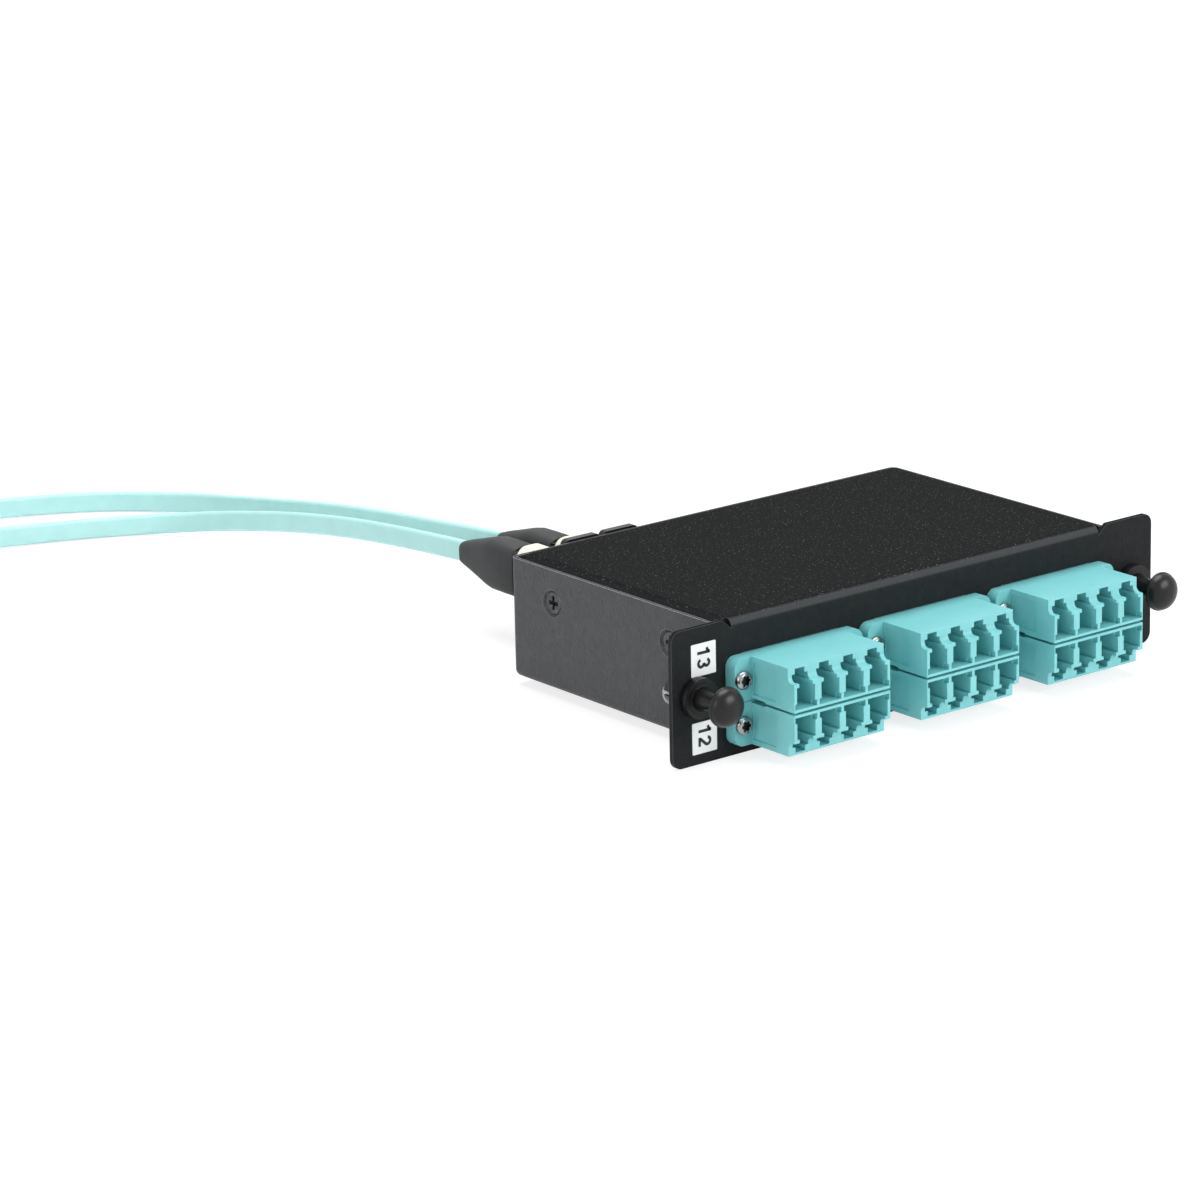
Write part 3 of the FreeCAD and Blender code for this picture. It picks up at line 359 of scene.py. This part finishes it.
def make_materials():
    return {
        # The cover's top colour is painted shade, and on both paints the bend and edge colours are painted
        # highlights.
        "cover": powder_coat(
            "cover_paint", base="1d1f20", drifted="232526", top="111213", speck="7c7c7c", bend_highlight="3c3e40",
            edge_highlight="5e6062", gloss=0.09, relief=0.04 * MM),
        "tray": powder_coat(
            "tray_paint", base="454648", drifted="4c4d4f", top="454648", speck="646567", bend_highlight="4c4d4f",
            edge_highlight="c4c5c6", gloss=0.2, relief=0.1 * MM),
        "aqua": moulded_plastic(
            "aqua_plastic", "7ccacd", "76c4c8", roughness=0.32, edge=0.05 * MM, texture=0.012 * MM, glow=0.1,
            gloss=0.6),
        "black": moulded_plastic(
            "black_plastic", "161617", "111112", roughness=0.3, edge=0.15 * MM, texture=0.012 * MM, gloss=0.3),
        "boot": moulded_plastic(
            "boot_rubber", "363738", "303132", roughness=0.58, edge=0.3 * MM, texture=0.03 * MM, gloss=0.3),
        "cream": moulded_plastic(
            "cream_plastic", "eceadb", "e4e2d2", roughness=0.45, edge=0.2 * MM, texture=0.02 * MM),
        "paper": moulded_plastic("label_paper", "f4f4f4", "ecedee", roughness=0.5, edge=0, texture=0.008 * MM),
        "ink": moulded_plastic("label_ink", "0d0d0e", "141416", roughness=0.45, edge=0, texture=0.004 * MM),
        "steel": plated_steel("plated_steel", "a9a9aa", "8d8e90", roughness=0.24),
        "dark_steel": plated_steel("blackened_steel", "5e5f60", "48494a", roughness=0.42),
        # The recess material is steel painted dark as painted shade inside the screw recesses.
        "recess": plated_steel("screw_recess_painted_shade", "4a4642", "2c2926", roughness=0.5),
        "jacket": extruded_jacket("aqua_jacket", "b0dfdd", "aadad8"),
        "strap": woven_strap("black_strap", "121213", "2e2e30"),
    }


def finish_of(node):
    """The name of the material that a CAD node gets."""
    if node == "cover_faceplate":
        return "cover"
    if node == "base_tray":
        return "tray"
    if node.startswith(("lc_adapter", "inner_lc")):
        return "aqua"
    if node in ("adapter_screws", "mpo_adapter_screws"):
        return "steel"
    if node in ("side_screws", "side_rivets"):
        return "dark_steel"
    if "boot" in node:
        return "boot"
    if node.startswith(("coupling_sleeve", "far_sleeve")):
        return "cream"
    if node.startswith(("cord", "coil", "far_lead")):
        return "jacket"
    return "strap" if node.startswith("tie") else "black"


def dress(nodes, materials):
    for name, item in nodes.items():
        item.data.materials.clear()
        item.data.materials.append(materials[finish_of(name)])


def new_object(name, data):
    item = bpy.data.objects.new(name, data)
    bpy.context.scene.collection.objects.link(item)
    return item


# Stage, light and camera.
def make_camera():
    data = bpy.data.cameras.new("camera")
    data.lens = CAMERA_LENS
    data.clip_end = 20
    camera = new_object("camera", data)
    turn = (Matrix.Rotation(CAMERA_AZIMUTH, 4, "Z") @ Matrix.Rotation(math.pi / 2 - CAMERA_ELEVATION, 4, "X")
            @ Matrix.Rotation(CAMERA_ROLL, 4, "Z"))
    camera.matrix_world = Matrix.Translation(CAMERA_PLACE) @ turn
    bpy.context.scene.camera = camera


def lamp(name, place, size, power):
    """A soft box aimed at the middle of the scene."""
    data = bpy.data.lights.new(name, "AREA")
    data.shape = "RECTANGLE"
    data.size, data.size_y = size
    data.energy = power
    item = new_object(name, data)
    item.location = place
    item.rotation_euler = (-Vector(place)).to_track_quat("-Z", "Y").to_euler()


def make_lights():
    """A large lamp in front on the right, one above, and a weak one on the left."""
    lamp("front_light", (0.6, -1.5, 0.8), (1.0, 0.8), 17)
    lamp("top_light", (0.1, 0.3, 1.6), (1.2, 1.2), 25)
    lamp("side_light", (-1.5, -0.1, 0.6), (0.8, 0.8), 5)


def seen_directly(tree):
    """One for camera, glossy and transmission rays, and nought for the rest."""
    path = tree.nodes.new("ShaderNodeLightPath")
    seen = path.outputs["Is Camera Ray"]
    for ray in ("Is Glossy Ray", "Is Transmission Ray"):
        either = tree.nodes.new("ShaderNodeMath")
        either.operation = "MAXIMUM"
        tree.links.new(seen, either.inputs[0])
        tree.links.new(path.outputs[ray], either.inputs[1])
        seen = either.outputs[0]
    return seen


def make_world():
    """A world that lights the object gently and is seen as white."""
    world = bpy.data.worlds.new("world")
    bpy.context.scene.world = world
    world.use_nodes = True
    tree = world.node_tree
    dim, bright = tree.nodes["Background"], tree.nodes.new("ShaderNodeBackground")
    for background, strength in ((dim, WORLD_LIGHT), (bright, 1.0)):
        background.inputs["Color"].default_value = (1, 1, 1, 1)
        background.inputs["Strength"].default_value = strength
    mix = tree.nodes.new("ShaderNodeMixShader")
    tree.links.new(seen_directly(tree), mix.inputs["Fac"])
    tree.links.new(dim.outputs[0], mix.inputs[1])
    tree.links.new(bright.outputs[0], mix.inputs[2])
    tree.links.new(mix.outputs[0], tree.nodes["World Output"].inputs["Surface"])


def make_floor():
    """A floor that is seen as nearly white but keeps the object's shadow."""
    mesh = bpy.data.meshes.new("floor")
    mesh.from_pydata([(x * FLOOR_HALF, y * FLOOR_HALF, 0) for x, y in ((-1, -1), (1, -1), (1, 1), (-1, 1))],
                     [], [(0, 1, 2, 3)])
    floor = new_object("floor", mesh)
    floor.location.z = FLOOR_LEVEL
    nodes = Nodes("pale_floor")
    nodes.set(Base_Color=(0.93, 0.93, 0.93, 1), Roughness=0.9)
    shaded = nodes.add("ShaderNodeBsdfDiffuse", Color=(0.3, 0.3, 0.3, 1))
    glow = nodes.add("ShaderNodeEmission", Color=(1, 1, 1, 1), Strength=FLOOR_GLOW)
    both, mix = nodes.add("ShaderNodeAddShader"), nodes.add("ShaderNodeMixShader")
    nodes.join(shaded.outputs[0], both.inputs[0])
    nodes.join(glow.outputs[0], both.inputs[1])
    nodes.join(seen_directly(nodes.tree), mix.inputs["Fac"])
    nodes.join(nodes.shader.outputs[0], mix.inputs[1])
    nodes.join(both.outputs[0], mix.inputs[2])
    nodes.join(mix.outputs[0], nodes.tree.nodes["Material Output"].inputs["Surface"])
    mesh.materials.append(nodes.material)


# Places on the CAD's nodes.
def box(node):
    """Lowest and highest corner of a CAD node."""
    return [Vector(corner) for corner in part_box(node)]


def middle(low, high, **fixed):
    """The middle of a box, with any of its coordinates set to another value."""
    place = Vector([(low[axis] + high[axis]) / 2 for axis in range(3)])
    for axis, value in fixed.items():
        setattr(place, axis, value)
    return place


def islands(node):
    """Lowest and highest corners of each loose solid of a CAD node."""
    mesh = bmesh.new()
    mesh.from_mesh(frame["nodes"][node].data)
    bmesh.ops.remove_doubles(mesh, verts=mesh.verts, dist=1e-6)
    boxes, seen = [], set()
    for start in mesh.verts:
        if start in seen:
            continue
        seen.add(start)
        queue, members = [start], []
        while queue:
            vert = queue.pop()
            members.append(vert.co.copy())
            for edge in vert.link_edges:
                other = edge.other_vert(vert)
                if other not in seen:
                    seen.add(other)
                    queue.append(other)
        low = Vector([min(co[axis] for co in members) for axis in range(3)])
        high = Vector([max(co[axis] for co in members) for axis in range(3)])
        boxes.append((low, high))
    mesh.free()
    return boxes


# Skins over rows of points.
def bridge(mesh, lower, upper, closed=True):
    """The faces between two rows of vertices, which are rings where closed."""
    faces = []
    for step in range(len(lower) if closed else len(lower) - 1):
        after = (step + 1) % len(lower)
        faces.append(mesh.faces.new((lower[step], lower[after], upper[after], upper[step])))
    return faces


def skin(mesh, loops, capped=True, inner_from=None):
    """Faces between loops of points, with caps. From the row inner_from on, they take the second material."""
    rows = [[mesh.verts.new(place) for place in loop] for loop in loops]
    for row, (lower, upper) in enumerate(zip(rows, rows[1:])):
        for face in bridge(mesh, lower, upper):
            face.material_index = int(inner_from is not None and row >= inner_from)
    if capped:
        mesh.faces.new(rows[0][::-1])
        mesh.faces.new(rows[-1]).material_index = int(inner_from is not None)


def turned(mesh, rings, place, axis, count=48, inner_from=None):
    """A turned piece. A ring is (radius, height), and a radius may be a function of the angle."""
    turn = axis.to_track_quat("Z", "Y")
    loops = []
    for radius, height in rings:
        loop = []
        for step in range(count):
            angle = 2 * math.pi * step / count
            reach = radius(angle) if callable(radius) else radius
            loop.append(place + turn @ Vector((reach * math.cos(angle), reach * math.sin(angle), height)))
        loops.append(loop)
    skin(mesh, loops, inner_from=inner_from)


def radius_of(size, whole, outline):
    """A ring's radius from a share of the whole one, or its outline from two such shares."""
    return outline(*(whole * share for share in size)) if isinstance(size, tuple) else whole * size


def dome(radius, height, steps):
    """Rings from a dome's rim nearly to its top."""
    angles = [math.pi / 2 * step / steps for step in range(steps)]
    return [(radius * math.cos(angle), height * math.sin(angle)) for angle in angles]


def rounded(width, height, radius, steps=6):
    """A rounded rectangle's outline, as (across, up) pairs."""
    places = []
    for quarter, (sx, sy) in enumerate(((1, 1), (-1, 1), (-1, -1), (1, -1))):
        for step in range(steps):
            angle = math.pi / 2 * (quarter + step / (steps - 1))
            places.append((sx * (width / 2 - radius) + radius * math.cos(angle),
                           sy * (height / 2 - radius) + radius * math.sin(angle)))
    return places


def sections(mesh, rows, place, along, capped=True):
    """A skin over rounded rectangles: (distance, width, height, corner radius), in millimetres."""
    across = along.cross(Z_AXIS)
    skin(mesh, [[place + along * distance * MM + across * u * MM + Z_AXIS * v * MM
                 for u, v in rounded(width, height, radius)]
                for distance, width, height, radius in rows], capped)


def finish_mesh(name, mesh, material, body, *nodes, sharp=35, inner=None):
    """Makes a piece of a bmesh. Edges sharper than the given angle in degrees stay sharp."""
    data = bpy.data.meshes.new(name)
    bmesh.ops.recalc_face_normals(mesh, faces=mesh.faces)
    for face in mesh.faces:
        face.smooth = True
    mesh.to_mesh(data)
    mesh.free()
    data.set_sharp_from_angle(angle=math.radians(sharp))
    data.materials.append(material)
    if inner:
        data.materials.append(inner)
    item = new_object(name, data)
    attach(item, body)
    if nodes:
        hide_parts(*nodes)
    return item


# Fasteners.
def star(radius, depth, lobes=6):
    """The outline of a lobed recess, as a radius for each angle."""
    return lambda angle: radius + depth * math.cos(lobes * angle)


def cross(long_half, short_half):
    """The outline of a cross recess, as a radius for each angle."""
    def radius(angle):
        turn = (angle + math.pi / 4) % (math.pi / 2) - math.pi / 4
        along = long_half / math.cos(turn)
        beside = short_half / max(abs(math.sin(turn)), 1e-6)
        return min(along, max(beside, short_half * math.sqrt(2)))
    return radius


def screw_head(mesh, design, recess, place, axis, radius, height, shank=()):
    """A head from its rows, after the rings of its shank if it has one."""
    rows, inner_from = design
    rings = [(radius_of(size, radius, recess), height * rise) for size, rise in rows]
    turned(mesh, [*shank, *rings], place, axis, RECESS_STEPS, inner_from)


def make_flange_screws(material, recess):
    """Pan heads with a six-lobed recess."""
    mesh = bmesh.new()
    for low, high in islands("adapter_screws"):
        head = (high.x - low.x) / 2 / FLAT_SHARE
        screw_head(mesh, FLANGE_SCREW, star, middle(low, high, y=high.y), -Y_AXIS, head, high.y - low.y)
    finish_mesh("flange_screw_heads", mesh, material, "cassette", "adapter_screws", inner=recess)


def make_rear_screws(material, recess):
    """Pan heads with a cross recess on the rear adapters' flanges."""
    mesh = bmesh.new()
    for low, high in islands("mpo_adapter_screws"):
        head = (high.x - low.x) / 2 / FLAT_SHARE
        screw_head(mesh, REAR_SCREW, cross, middle(low, high, y=low.y), Y_AXIS, head, high.y - low.y)
    finish_mesh("rear_screw_heads", mesh, material, "cassette", "mpo_adapter_screws", inner=recess)


def outward_end(low, high):
    """The middle of a side fastener's outer face and its outward direction."""
    if low.x > 0:
        return middle(low, high, x=high.x), X_AXIS
    return middle(low, high, x=low.x), -X_AXIS


def make_side_screws(material, recess):
    """Countersunk heads with a cross recess."""
    mesh = bmesh.new()
    for low, high in islands("side_screws"):
        head = (high.z - low.z) / 2 / FLAT_SHARE
        place, outward = outward_end(low, high)
        screw_head(mesh, SIDE_SCREW, cross, place, outward, head, head, [(head * SHANK_SHARE, low.x - high.x)])
    finish_mesh("side_screw_heads", mesh, material, "cassette", "side_screws", inner=recess)


def make_rivets(material):
    """Domed heads."""
    mesh = bmesh.new()
    for low, high in islands("side_rivets"):
        head, rise = (high.z - low.z) / 2 / FLAT_SHARE, high.x - low.x
        place, outward = outward_end(low, high)
        turned(mesh, dome(head, rise, RIVET_STEPS) + [(head * RIVET_TIP, rise)], place - outward * rise, outward)
    finish_mesh("side_rivet_heads", mesh, material, "cassette", "side_rivets")


# Panel plungers.
def ribbed(radius, depth):
    """The outline of a gripping rim with narrow grooves, as a radius for each angle."""
    return lambda angle: radius - depth * (0.5 + 0.5 * math.cos(GROMMET_RIBS * angle)) ** 3


def make_plunger(side, material):
    """A push pin with a domed knob, and the ribbed rim of its grommet."""
    node = f"plunger_{side}"
    low, high = box(node)
    axis_place = middle(low, high, y=0)
    knob = (high.x - low.x) / 2
    grommet_low, grommet_high = box(f"grommet_{side}")
    rim_front = low.y + KNOB_DOME
    rim_back = rim_front + KNOB_RIM
    parts = ((SHAFT_RADIUS, high.y, SHAFT_FROM_END), (SHAFT_RADIUS, grommet_low.y, SHAFT_FROM_GROMMET),
             (SHAFT_RADIUS, rim_back, NECK_FROM_KNOB), (knob, rim_back, KNOB_FROM_BACK),
             (knob, rim_front, KNOB_FROM_RIM))
    rings = [(radius * share, start + rise * MM) for radius, start, rows in parts for share, rise in rows]
    rings += [(radius, rim_front - rise) for radius, rise in dome(knob * DOME_SHARE, KNOB_DOME, DOME_STEPS)]
    rings.append((knob * DOME_TIP, low.y))
    mesh = bmesh.new()
    turned(mesh, [(radius, -y) for radius, y in rings], axis_place, -Y_AXIS, PIN_STEPS)
    finish_mesh(f"push_pin_{side}", mesh, material, node, node, sharp=50)

    rim = (grommet_high.x - grommet_low.x) / 2
    top = grommet_low.y - GROMMET_LIFT
    sunk = box("cover_faceplate")[0].y - GROMMET_SUNK
    rings = [(radius_of(size, rim, ribbed), top + rise * MM) for size, rise in GROMMET_RIM]
    rings = [(rings[0][0], sunk), *rings, (rings[-1][0], sunk)]
    mesh = bmesh.new()
    turned(mesh, [(radius, -y) for radius, y in rings], axis_place, -Y_AXIS, GROMMET_STEPS)
    finish_mesh(f"ribbed_rim_{side}", mesh, material, "cassette", sharp=28)


# Port labels: a sticker with a plain number, read from the top down.
def arc(centre, reach, start, end, steps=16):
    """Points round an ellipse, between two angles in degrees."""
    angles = [math.radians(start + (end - start) * step / steps) for step in range(steps + 1)]
    return [(centre[0] + reach[0] * math.cos(angle), centre[1] + reach[1] * math.sin(angle)) for angle in angles]


# Each digit's strokes, in units of its height.
DIGITS = {
    "1": [[(0.34, 0.0), (0.34, 1.0)], [(0.36, 0.93), (0.22, 0.80), (0.06, 0.73)]],
    "2": [arc((0.31, 0.69), (0.225, 0.225), 172, -30) + [(0.10, 0.13)], [(0.02, 0.085), (0.60, 0.085)]],
    "3": [arc((0.30, 0.725), (0.2, 0.195), 165, -90), arc((0.30, 0.295), (0.225, 0.215), 90, -168)],
}


def add_stroke(mesh, line, centre):
    """A flat stroke of one width along a line of (along the number, up the digit) points."""
    rows = []
    for step, point in enumerate(line):
        run = (line[min(step + 1, len(line) - 1)] - line[max(step - 1, 0)]).normalized() * DIGIT_STROKE / 2
        rows.append([mesh.verts.new(centre - Z_AXIS * (point.x - side * run.y) + X_AXIS * (point.y + side * run.x))
                     for side in (-1, 1)])
    for first, second in zip(rows, rows[1:]):
        mesh.faces.new((first[0], second[0], second[1], first[1]))


def digits(number, centre):
    """A number's digits as flat strokes."""
    mesh = bmesh.new()
    for place, digit in enumerate(number):
        start = (place - len(number) / 2) * DIGIT_ADVANCE - DIGIT_SHIFT * DIGIT_HEIGHT
        for stroke in DIGITS[digit]:
            line = [Vector((start + u * DIGIT_HEIGHT, (v - 0.5) * DIGIT_HEIGHT)) for u, v in stroke]
            add_stroke(mesh, line, centre)
    return mesh


def make_labels(paper, ink):
    face = box("cover_faceplate")[0].y
    left, right = (edge * MM for edge in LABEL_SIDES)
    for number, edges in LABELS.items():
        low, high = (edge * MM for edge in edges)
        mesh = bmesh.new()
        centre = Vector(((left + right) / 2, face, (low + high) / 2))
        skin(mesh, [[centre + X_AXIS * u + Z_AXIS * v - Y_AXIS * rise * MM
                     for u, v in rounded(right - left - inset * MM, high - low - inset * MM, LABEL_CORNER)]
                    for rise, inset in LABEL_SKIN])
        finish_mesh(f"label_{number}", mesh, paper, "cassette")
        finish_mesh(f"digits_{number}", digits(number, centre - Y_AXIS * DIGIT_LIFT), ink, "cassette")


# Trunk plugs.
def make_boot(name, base, along, material, node):
    mesh = bmesh.new()
    sections(mesh, BOOT_SECTIONS, base, along)
    return finish_mesh(name, mesh, material, "cassette", node, sharp=50)


def make_sleeve(name, start, along, length, material, body, node):
    """A coupling sleeve: a tube with rounded corners, finger ridges and a hollow end."""
    rows = [(length - SLEEVE_BORE_SHOWN, *SLEEVE_BORE), (length, *SLEEVE_MOUTH), (length, *SLEEVE_FRONT_LIP),
            (length - SLEEVE_LIP, *SLEEVE_OUTSIDE)]
    for ridge in range(RIDGES):
        back = length - RIDGE_START - ridge * RIDGE_PITCH
        rows += [(back, *SLEEVE_OUTSIDE), (back - GROOVE_SLOPE, *SLEEVE_GROOVE),
                 (back - GROOVE_WIDTH + GROOVE_SLOPE, *SLEEVE_GROOVE), (back - GROOVE_WIDTH, *SLEEVE_OUTSIDE)]
    rows += [(SLEEVE_LIP, *SLEEVE_OUTSIDE), (0, *SLEEVE_BACK_LIP), (0, *SLEEVE_MOUTH),
             (SLEEVE_BORE_SHOWN, *SLEEVE_BORE)]
    mesh = bmesh.new()
    sections(mesh, rows, start, along, capped=False)
    return finish_mesh(name, mesh, material, body, node, sharp=40)


def make_plugs(materials):
    """The boots and coupling sleeves of the plugs in the rear adapters."""
    for side in ("left", "right"):
        low, high = box(f"boot_{side}")
        make_boot(f"soft_boot_{side}", middle(low, high, y=low.y), Y_AXIS, materials["boot"], f"boot_{side}")
        node = f"coupling_sleeve_{side}"
        low, high = box(node)
        make_sleeve(f"ridged_sleeve_{side}", middle(low, high, y=low.y), Y_AXIS, (high.y - low.y) / MM,
                    materials["cream"], node, node)


# Trunk cords and their coils.
def make_tie(name, centre, material):
    """A hook-and-loop strap round a coil, with its free end lapped on top."""
    outer = OUTER_TURN + CORD_THICKNESS / 2
    inner = outer - TURN_PITCH * (TURNS_BESIDE - 1) - CORD_THICKNESS
    low, high = COIL_LIFT, COIL_LIFT + 2 * CORD_WIDTH
    radius, height = (inner + outer) / 2, (low + high) / 2

    def band(mesh, outline, closed):
        """A band along the coil's arc, from its section's (outwards, up) places."""
        rows = []
        for step in range(TIE_STRIPS + 1):
            angle = math.radians(TIE_START[name] + TIE_ANGLE * step / TIE_STRIPS)
            out = Vector((math.cos(angle), math.sin(angle), 0))
            rows.append([mesh.verts.new(Vector((centre.x, centre.y, height + v)) + out * (radius + u))
                         for u, v in outline])
        for lower, upper in zip(rows, rows[1:]):
            bridge(mesh, lower, upper, closed)

    mesh = bmesh.new()
    band(mesh, rounded(outer - inner + 2 * TIE_GAP, high - low + 2 * TIE_GAP, TIE_CORNER), True)
    lap_width = (outer - inner) * TIE_LAP_SHARE
    lap_height = (high - low) / 2 + TIE_THICKNESS + TIE_GAP
    lap = [(lap_width * (step / TIE_LAP_STRIPS - 0.5), lap_height + (TIE_LAP_LIFT if step == 0 else 0))
           for step in range(TIE_LAP_STRIPS + 1)]
    band(mesh, lap, False)
    item = finish_mesh(f"strap_{name}", mesh, material, "cassette", f"tie_{name}", sharp=60)
    solid = item.modifiers.new("thickness", "SOLIDIFY")
    solid.thickness = TIE_SKIN
    solid.offset = 1
    return item


def coil_points(entry, before, side, coil_turns):
    """The turns' control points: inwards in the lower layer, up, and outwards in the upper one."""
    along = (entry - before).normalized()
    outward = along.cross(Z_AXIS) * side
    centre = entry - outward * OUTER_TURN
    count = round(coil_turns * POINTS_PER_TURN)
    layer_turns = coil_turns / 2
    lower = COIL_LIFT + CORD_WIDTH / 2
    points = []
    for step in range(1, count + 1):
        turns = step * coil_turns / count
        inwards = min(turns, coil_turns - turns) / layer_turns
        radius = (OUTER_TURN - TURN_PITCH * (TURNS_BESIDE - 1) * inwards) / math.cos(math.pi / POINTS_PER_TURN)
        rise = min(max((turns - layer_turns) / LAYER_CHANGE + 0.5, 0), 1)
        arm = outward.copy()
        arm.rotate(Quaternion(Z_AXIS, 2 * math.pi * turns * side))
        points.append(centre + arm * radius + Z_AXIS * (lower - entry.z + rise * CORD_WIDTH))
    return points, centre


def cord_profile():
    """The flat cord's section: a rounded rectangle, taller than wide."""
    data = bpy.data.curves.new("cord_section", "CURVE")
    data.dimensions = "2D"
    spline = data.splines.new("POLY")
    places = rounded(CORD_THICKNESS, CORD_WIDTH, CORD_CORNER)
    spline.points.add(len(places) - 1)
    for point, (x, y) in zip(spline.points, places):
        point.co = (x, y, 0, 1)
    spline.use_cyclic_u = True
    profile = new_object("cord_section", data)
    profile.hide_render = True
    profile.hide_viewport = True
    return profile


def cord_curve(name, points, profile, material):
    """A flat cord on edge along one smooth spline through its route."""
    data = bpy.data.curves.new(name, "CURVE")
    data.dimensions = "3D"
    data.twist_mode = "Z_UP"
    data.bevel_mode = "OBJECT"
    data.bevel_object = profile
    data.use_fill_caps = True
    data.resolution_u = 8
    spline = data.splines.new("NURBS")
    spline.points.add(len(points) - 1)
    for point, place in zip(spline.points, points):
        point.co = (*place, 1)
    spline.order_u = 3
    spline.use_endpoint_u = True
    data.materials.append(material)
    return new_object(name, data)


def make_cord(name, profile, materials):
    """A trunk from its boot to its coil, with the strap and the far plug's pieces."""
    boot_side, side, route = ROUTES[name]
    boot_low, boot_high = box(f"boot_{boot_side}")
    exit_place = middle(boot_low, boot_high, y=boot_high.y)
    points = [exit_place] + [Vector(place) * MM for place in route]
    turns, centre = coil_points(points[-1], points[-2], side, COIL_TURNS[name])

    # The cord leaves the coil's last turn straight on, down to the height of the far plug's boot.
    arm = turns[-1] - centre
    arm.z = 0
    arm.normalize()
    leaving = Vector((-arm.y, arm.x, 0)) * side
    last = centre + arm * OUTER_TURN
    last.z = turns[-1].z
    half = CORD_THICKNESS / 2
    stub = math.sqrt((OUTER_TURN + half) ** 2 - (OUTER_TURN - half) ** 2) + STUB_CLEARANCE
    boot_tip = last + leaving * (stub + FAR_LEAD)
    boot_tip.z = FAR_PLUG_HEIGHT / 2
    points += turns[:-1] + [last, boot_tip - leaving * FAR_LEAD * FAR_LEAD_SETTLED, boot_tip]

    cord = cord_curve(f"trunk_cord_{name}", points, profile, materials["jacket"])
    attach(cord, "cassette")
    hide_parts(f"cord_{name}", f"coil_{name}", f"far_lead_{name}")
    strap = make_tie(name, centre, materials["strap"])
    boot_base = boot_tip + leaving * BOOT_LENGTH * MM
    boot = make_boot(f"soft_boot_{name}_end", boot_base, -leaving, materials["boot"], f"far_boot_{name}")
    sleeve_low, sleeve_high = box("coupling_sleeve_left")
    sleeve_start = boot_base + leaving * (box("boot_left")[0].y - sleeve_low.y)
    sleeve = make_sleeve(f"ridged_sleeve_{name}_end", sleeve_start, -leaving, (sleeve_high.y - sleeve_low.y) / MM,
                         materials["cream"], "cassette", f"far_sleeve_{name}")


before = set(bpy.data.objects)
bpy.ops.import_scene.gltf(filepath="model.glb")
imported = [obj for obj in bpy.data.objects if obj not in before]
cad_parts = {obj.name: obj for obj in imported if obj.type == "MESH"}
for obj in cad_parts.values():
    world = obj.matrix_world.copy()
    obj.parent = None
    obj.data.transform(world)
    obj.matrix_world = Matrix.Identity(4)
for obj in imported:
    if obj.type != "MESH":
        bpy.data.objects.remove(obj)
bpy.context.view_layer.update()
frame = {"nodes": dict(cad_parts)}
bpy.context.scene.view_settings.view_transform = "Standard"
materials = make_materials()
dress(frame["nodes"], materials)
make_camera()
cord_section = cord_profile()
for cord_name in ROUTES:
    make_cord(cord_name, cord_section, materials)
make_flange_screws(materials["steel"], materials["recess"])
make_rear_screws(materials["steel"], materials["recess"])
make_side_screws(materials["dark_steel"], materials["recess"])
make_rivets(materials["steel"])
make_plunger("left", materials["black"])
make_plunger("right", materials["black"])
make_labels(materials["paper"], materials["ink"])
make_plugs(materials)
make_lights()
make_world()
make_floor()
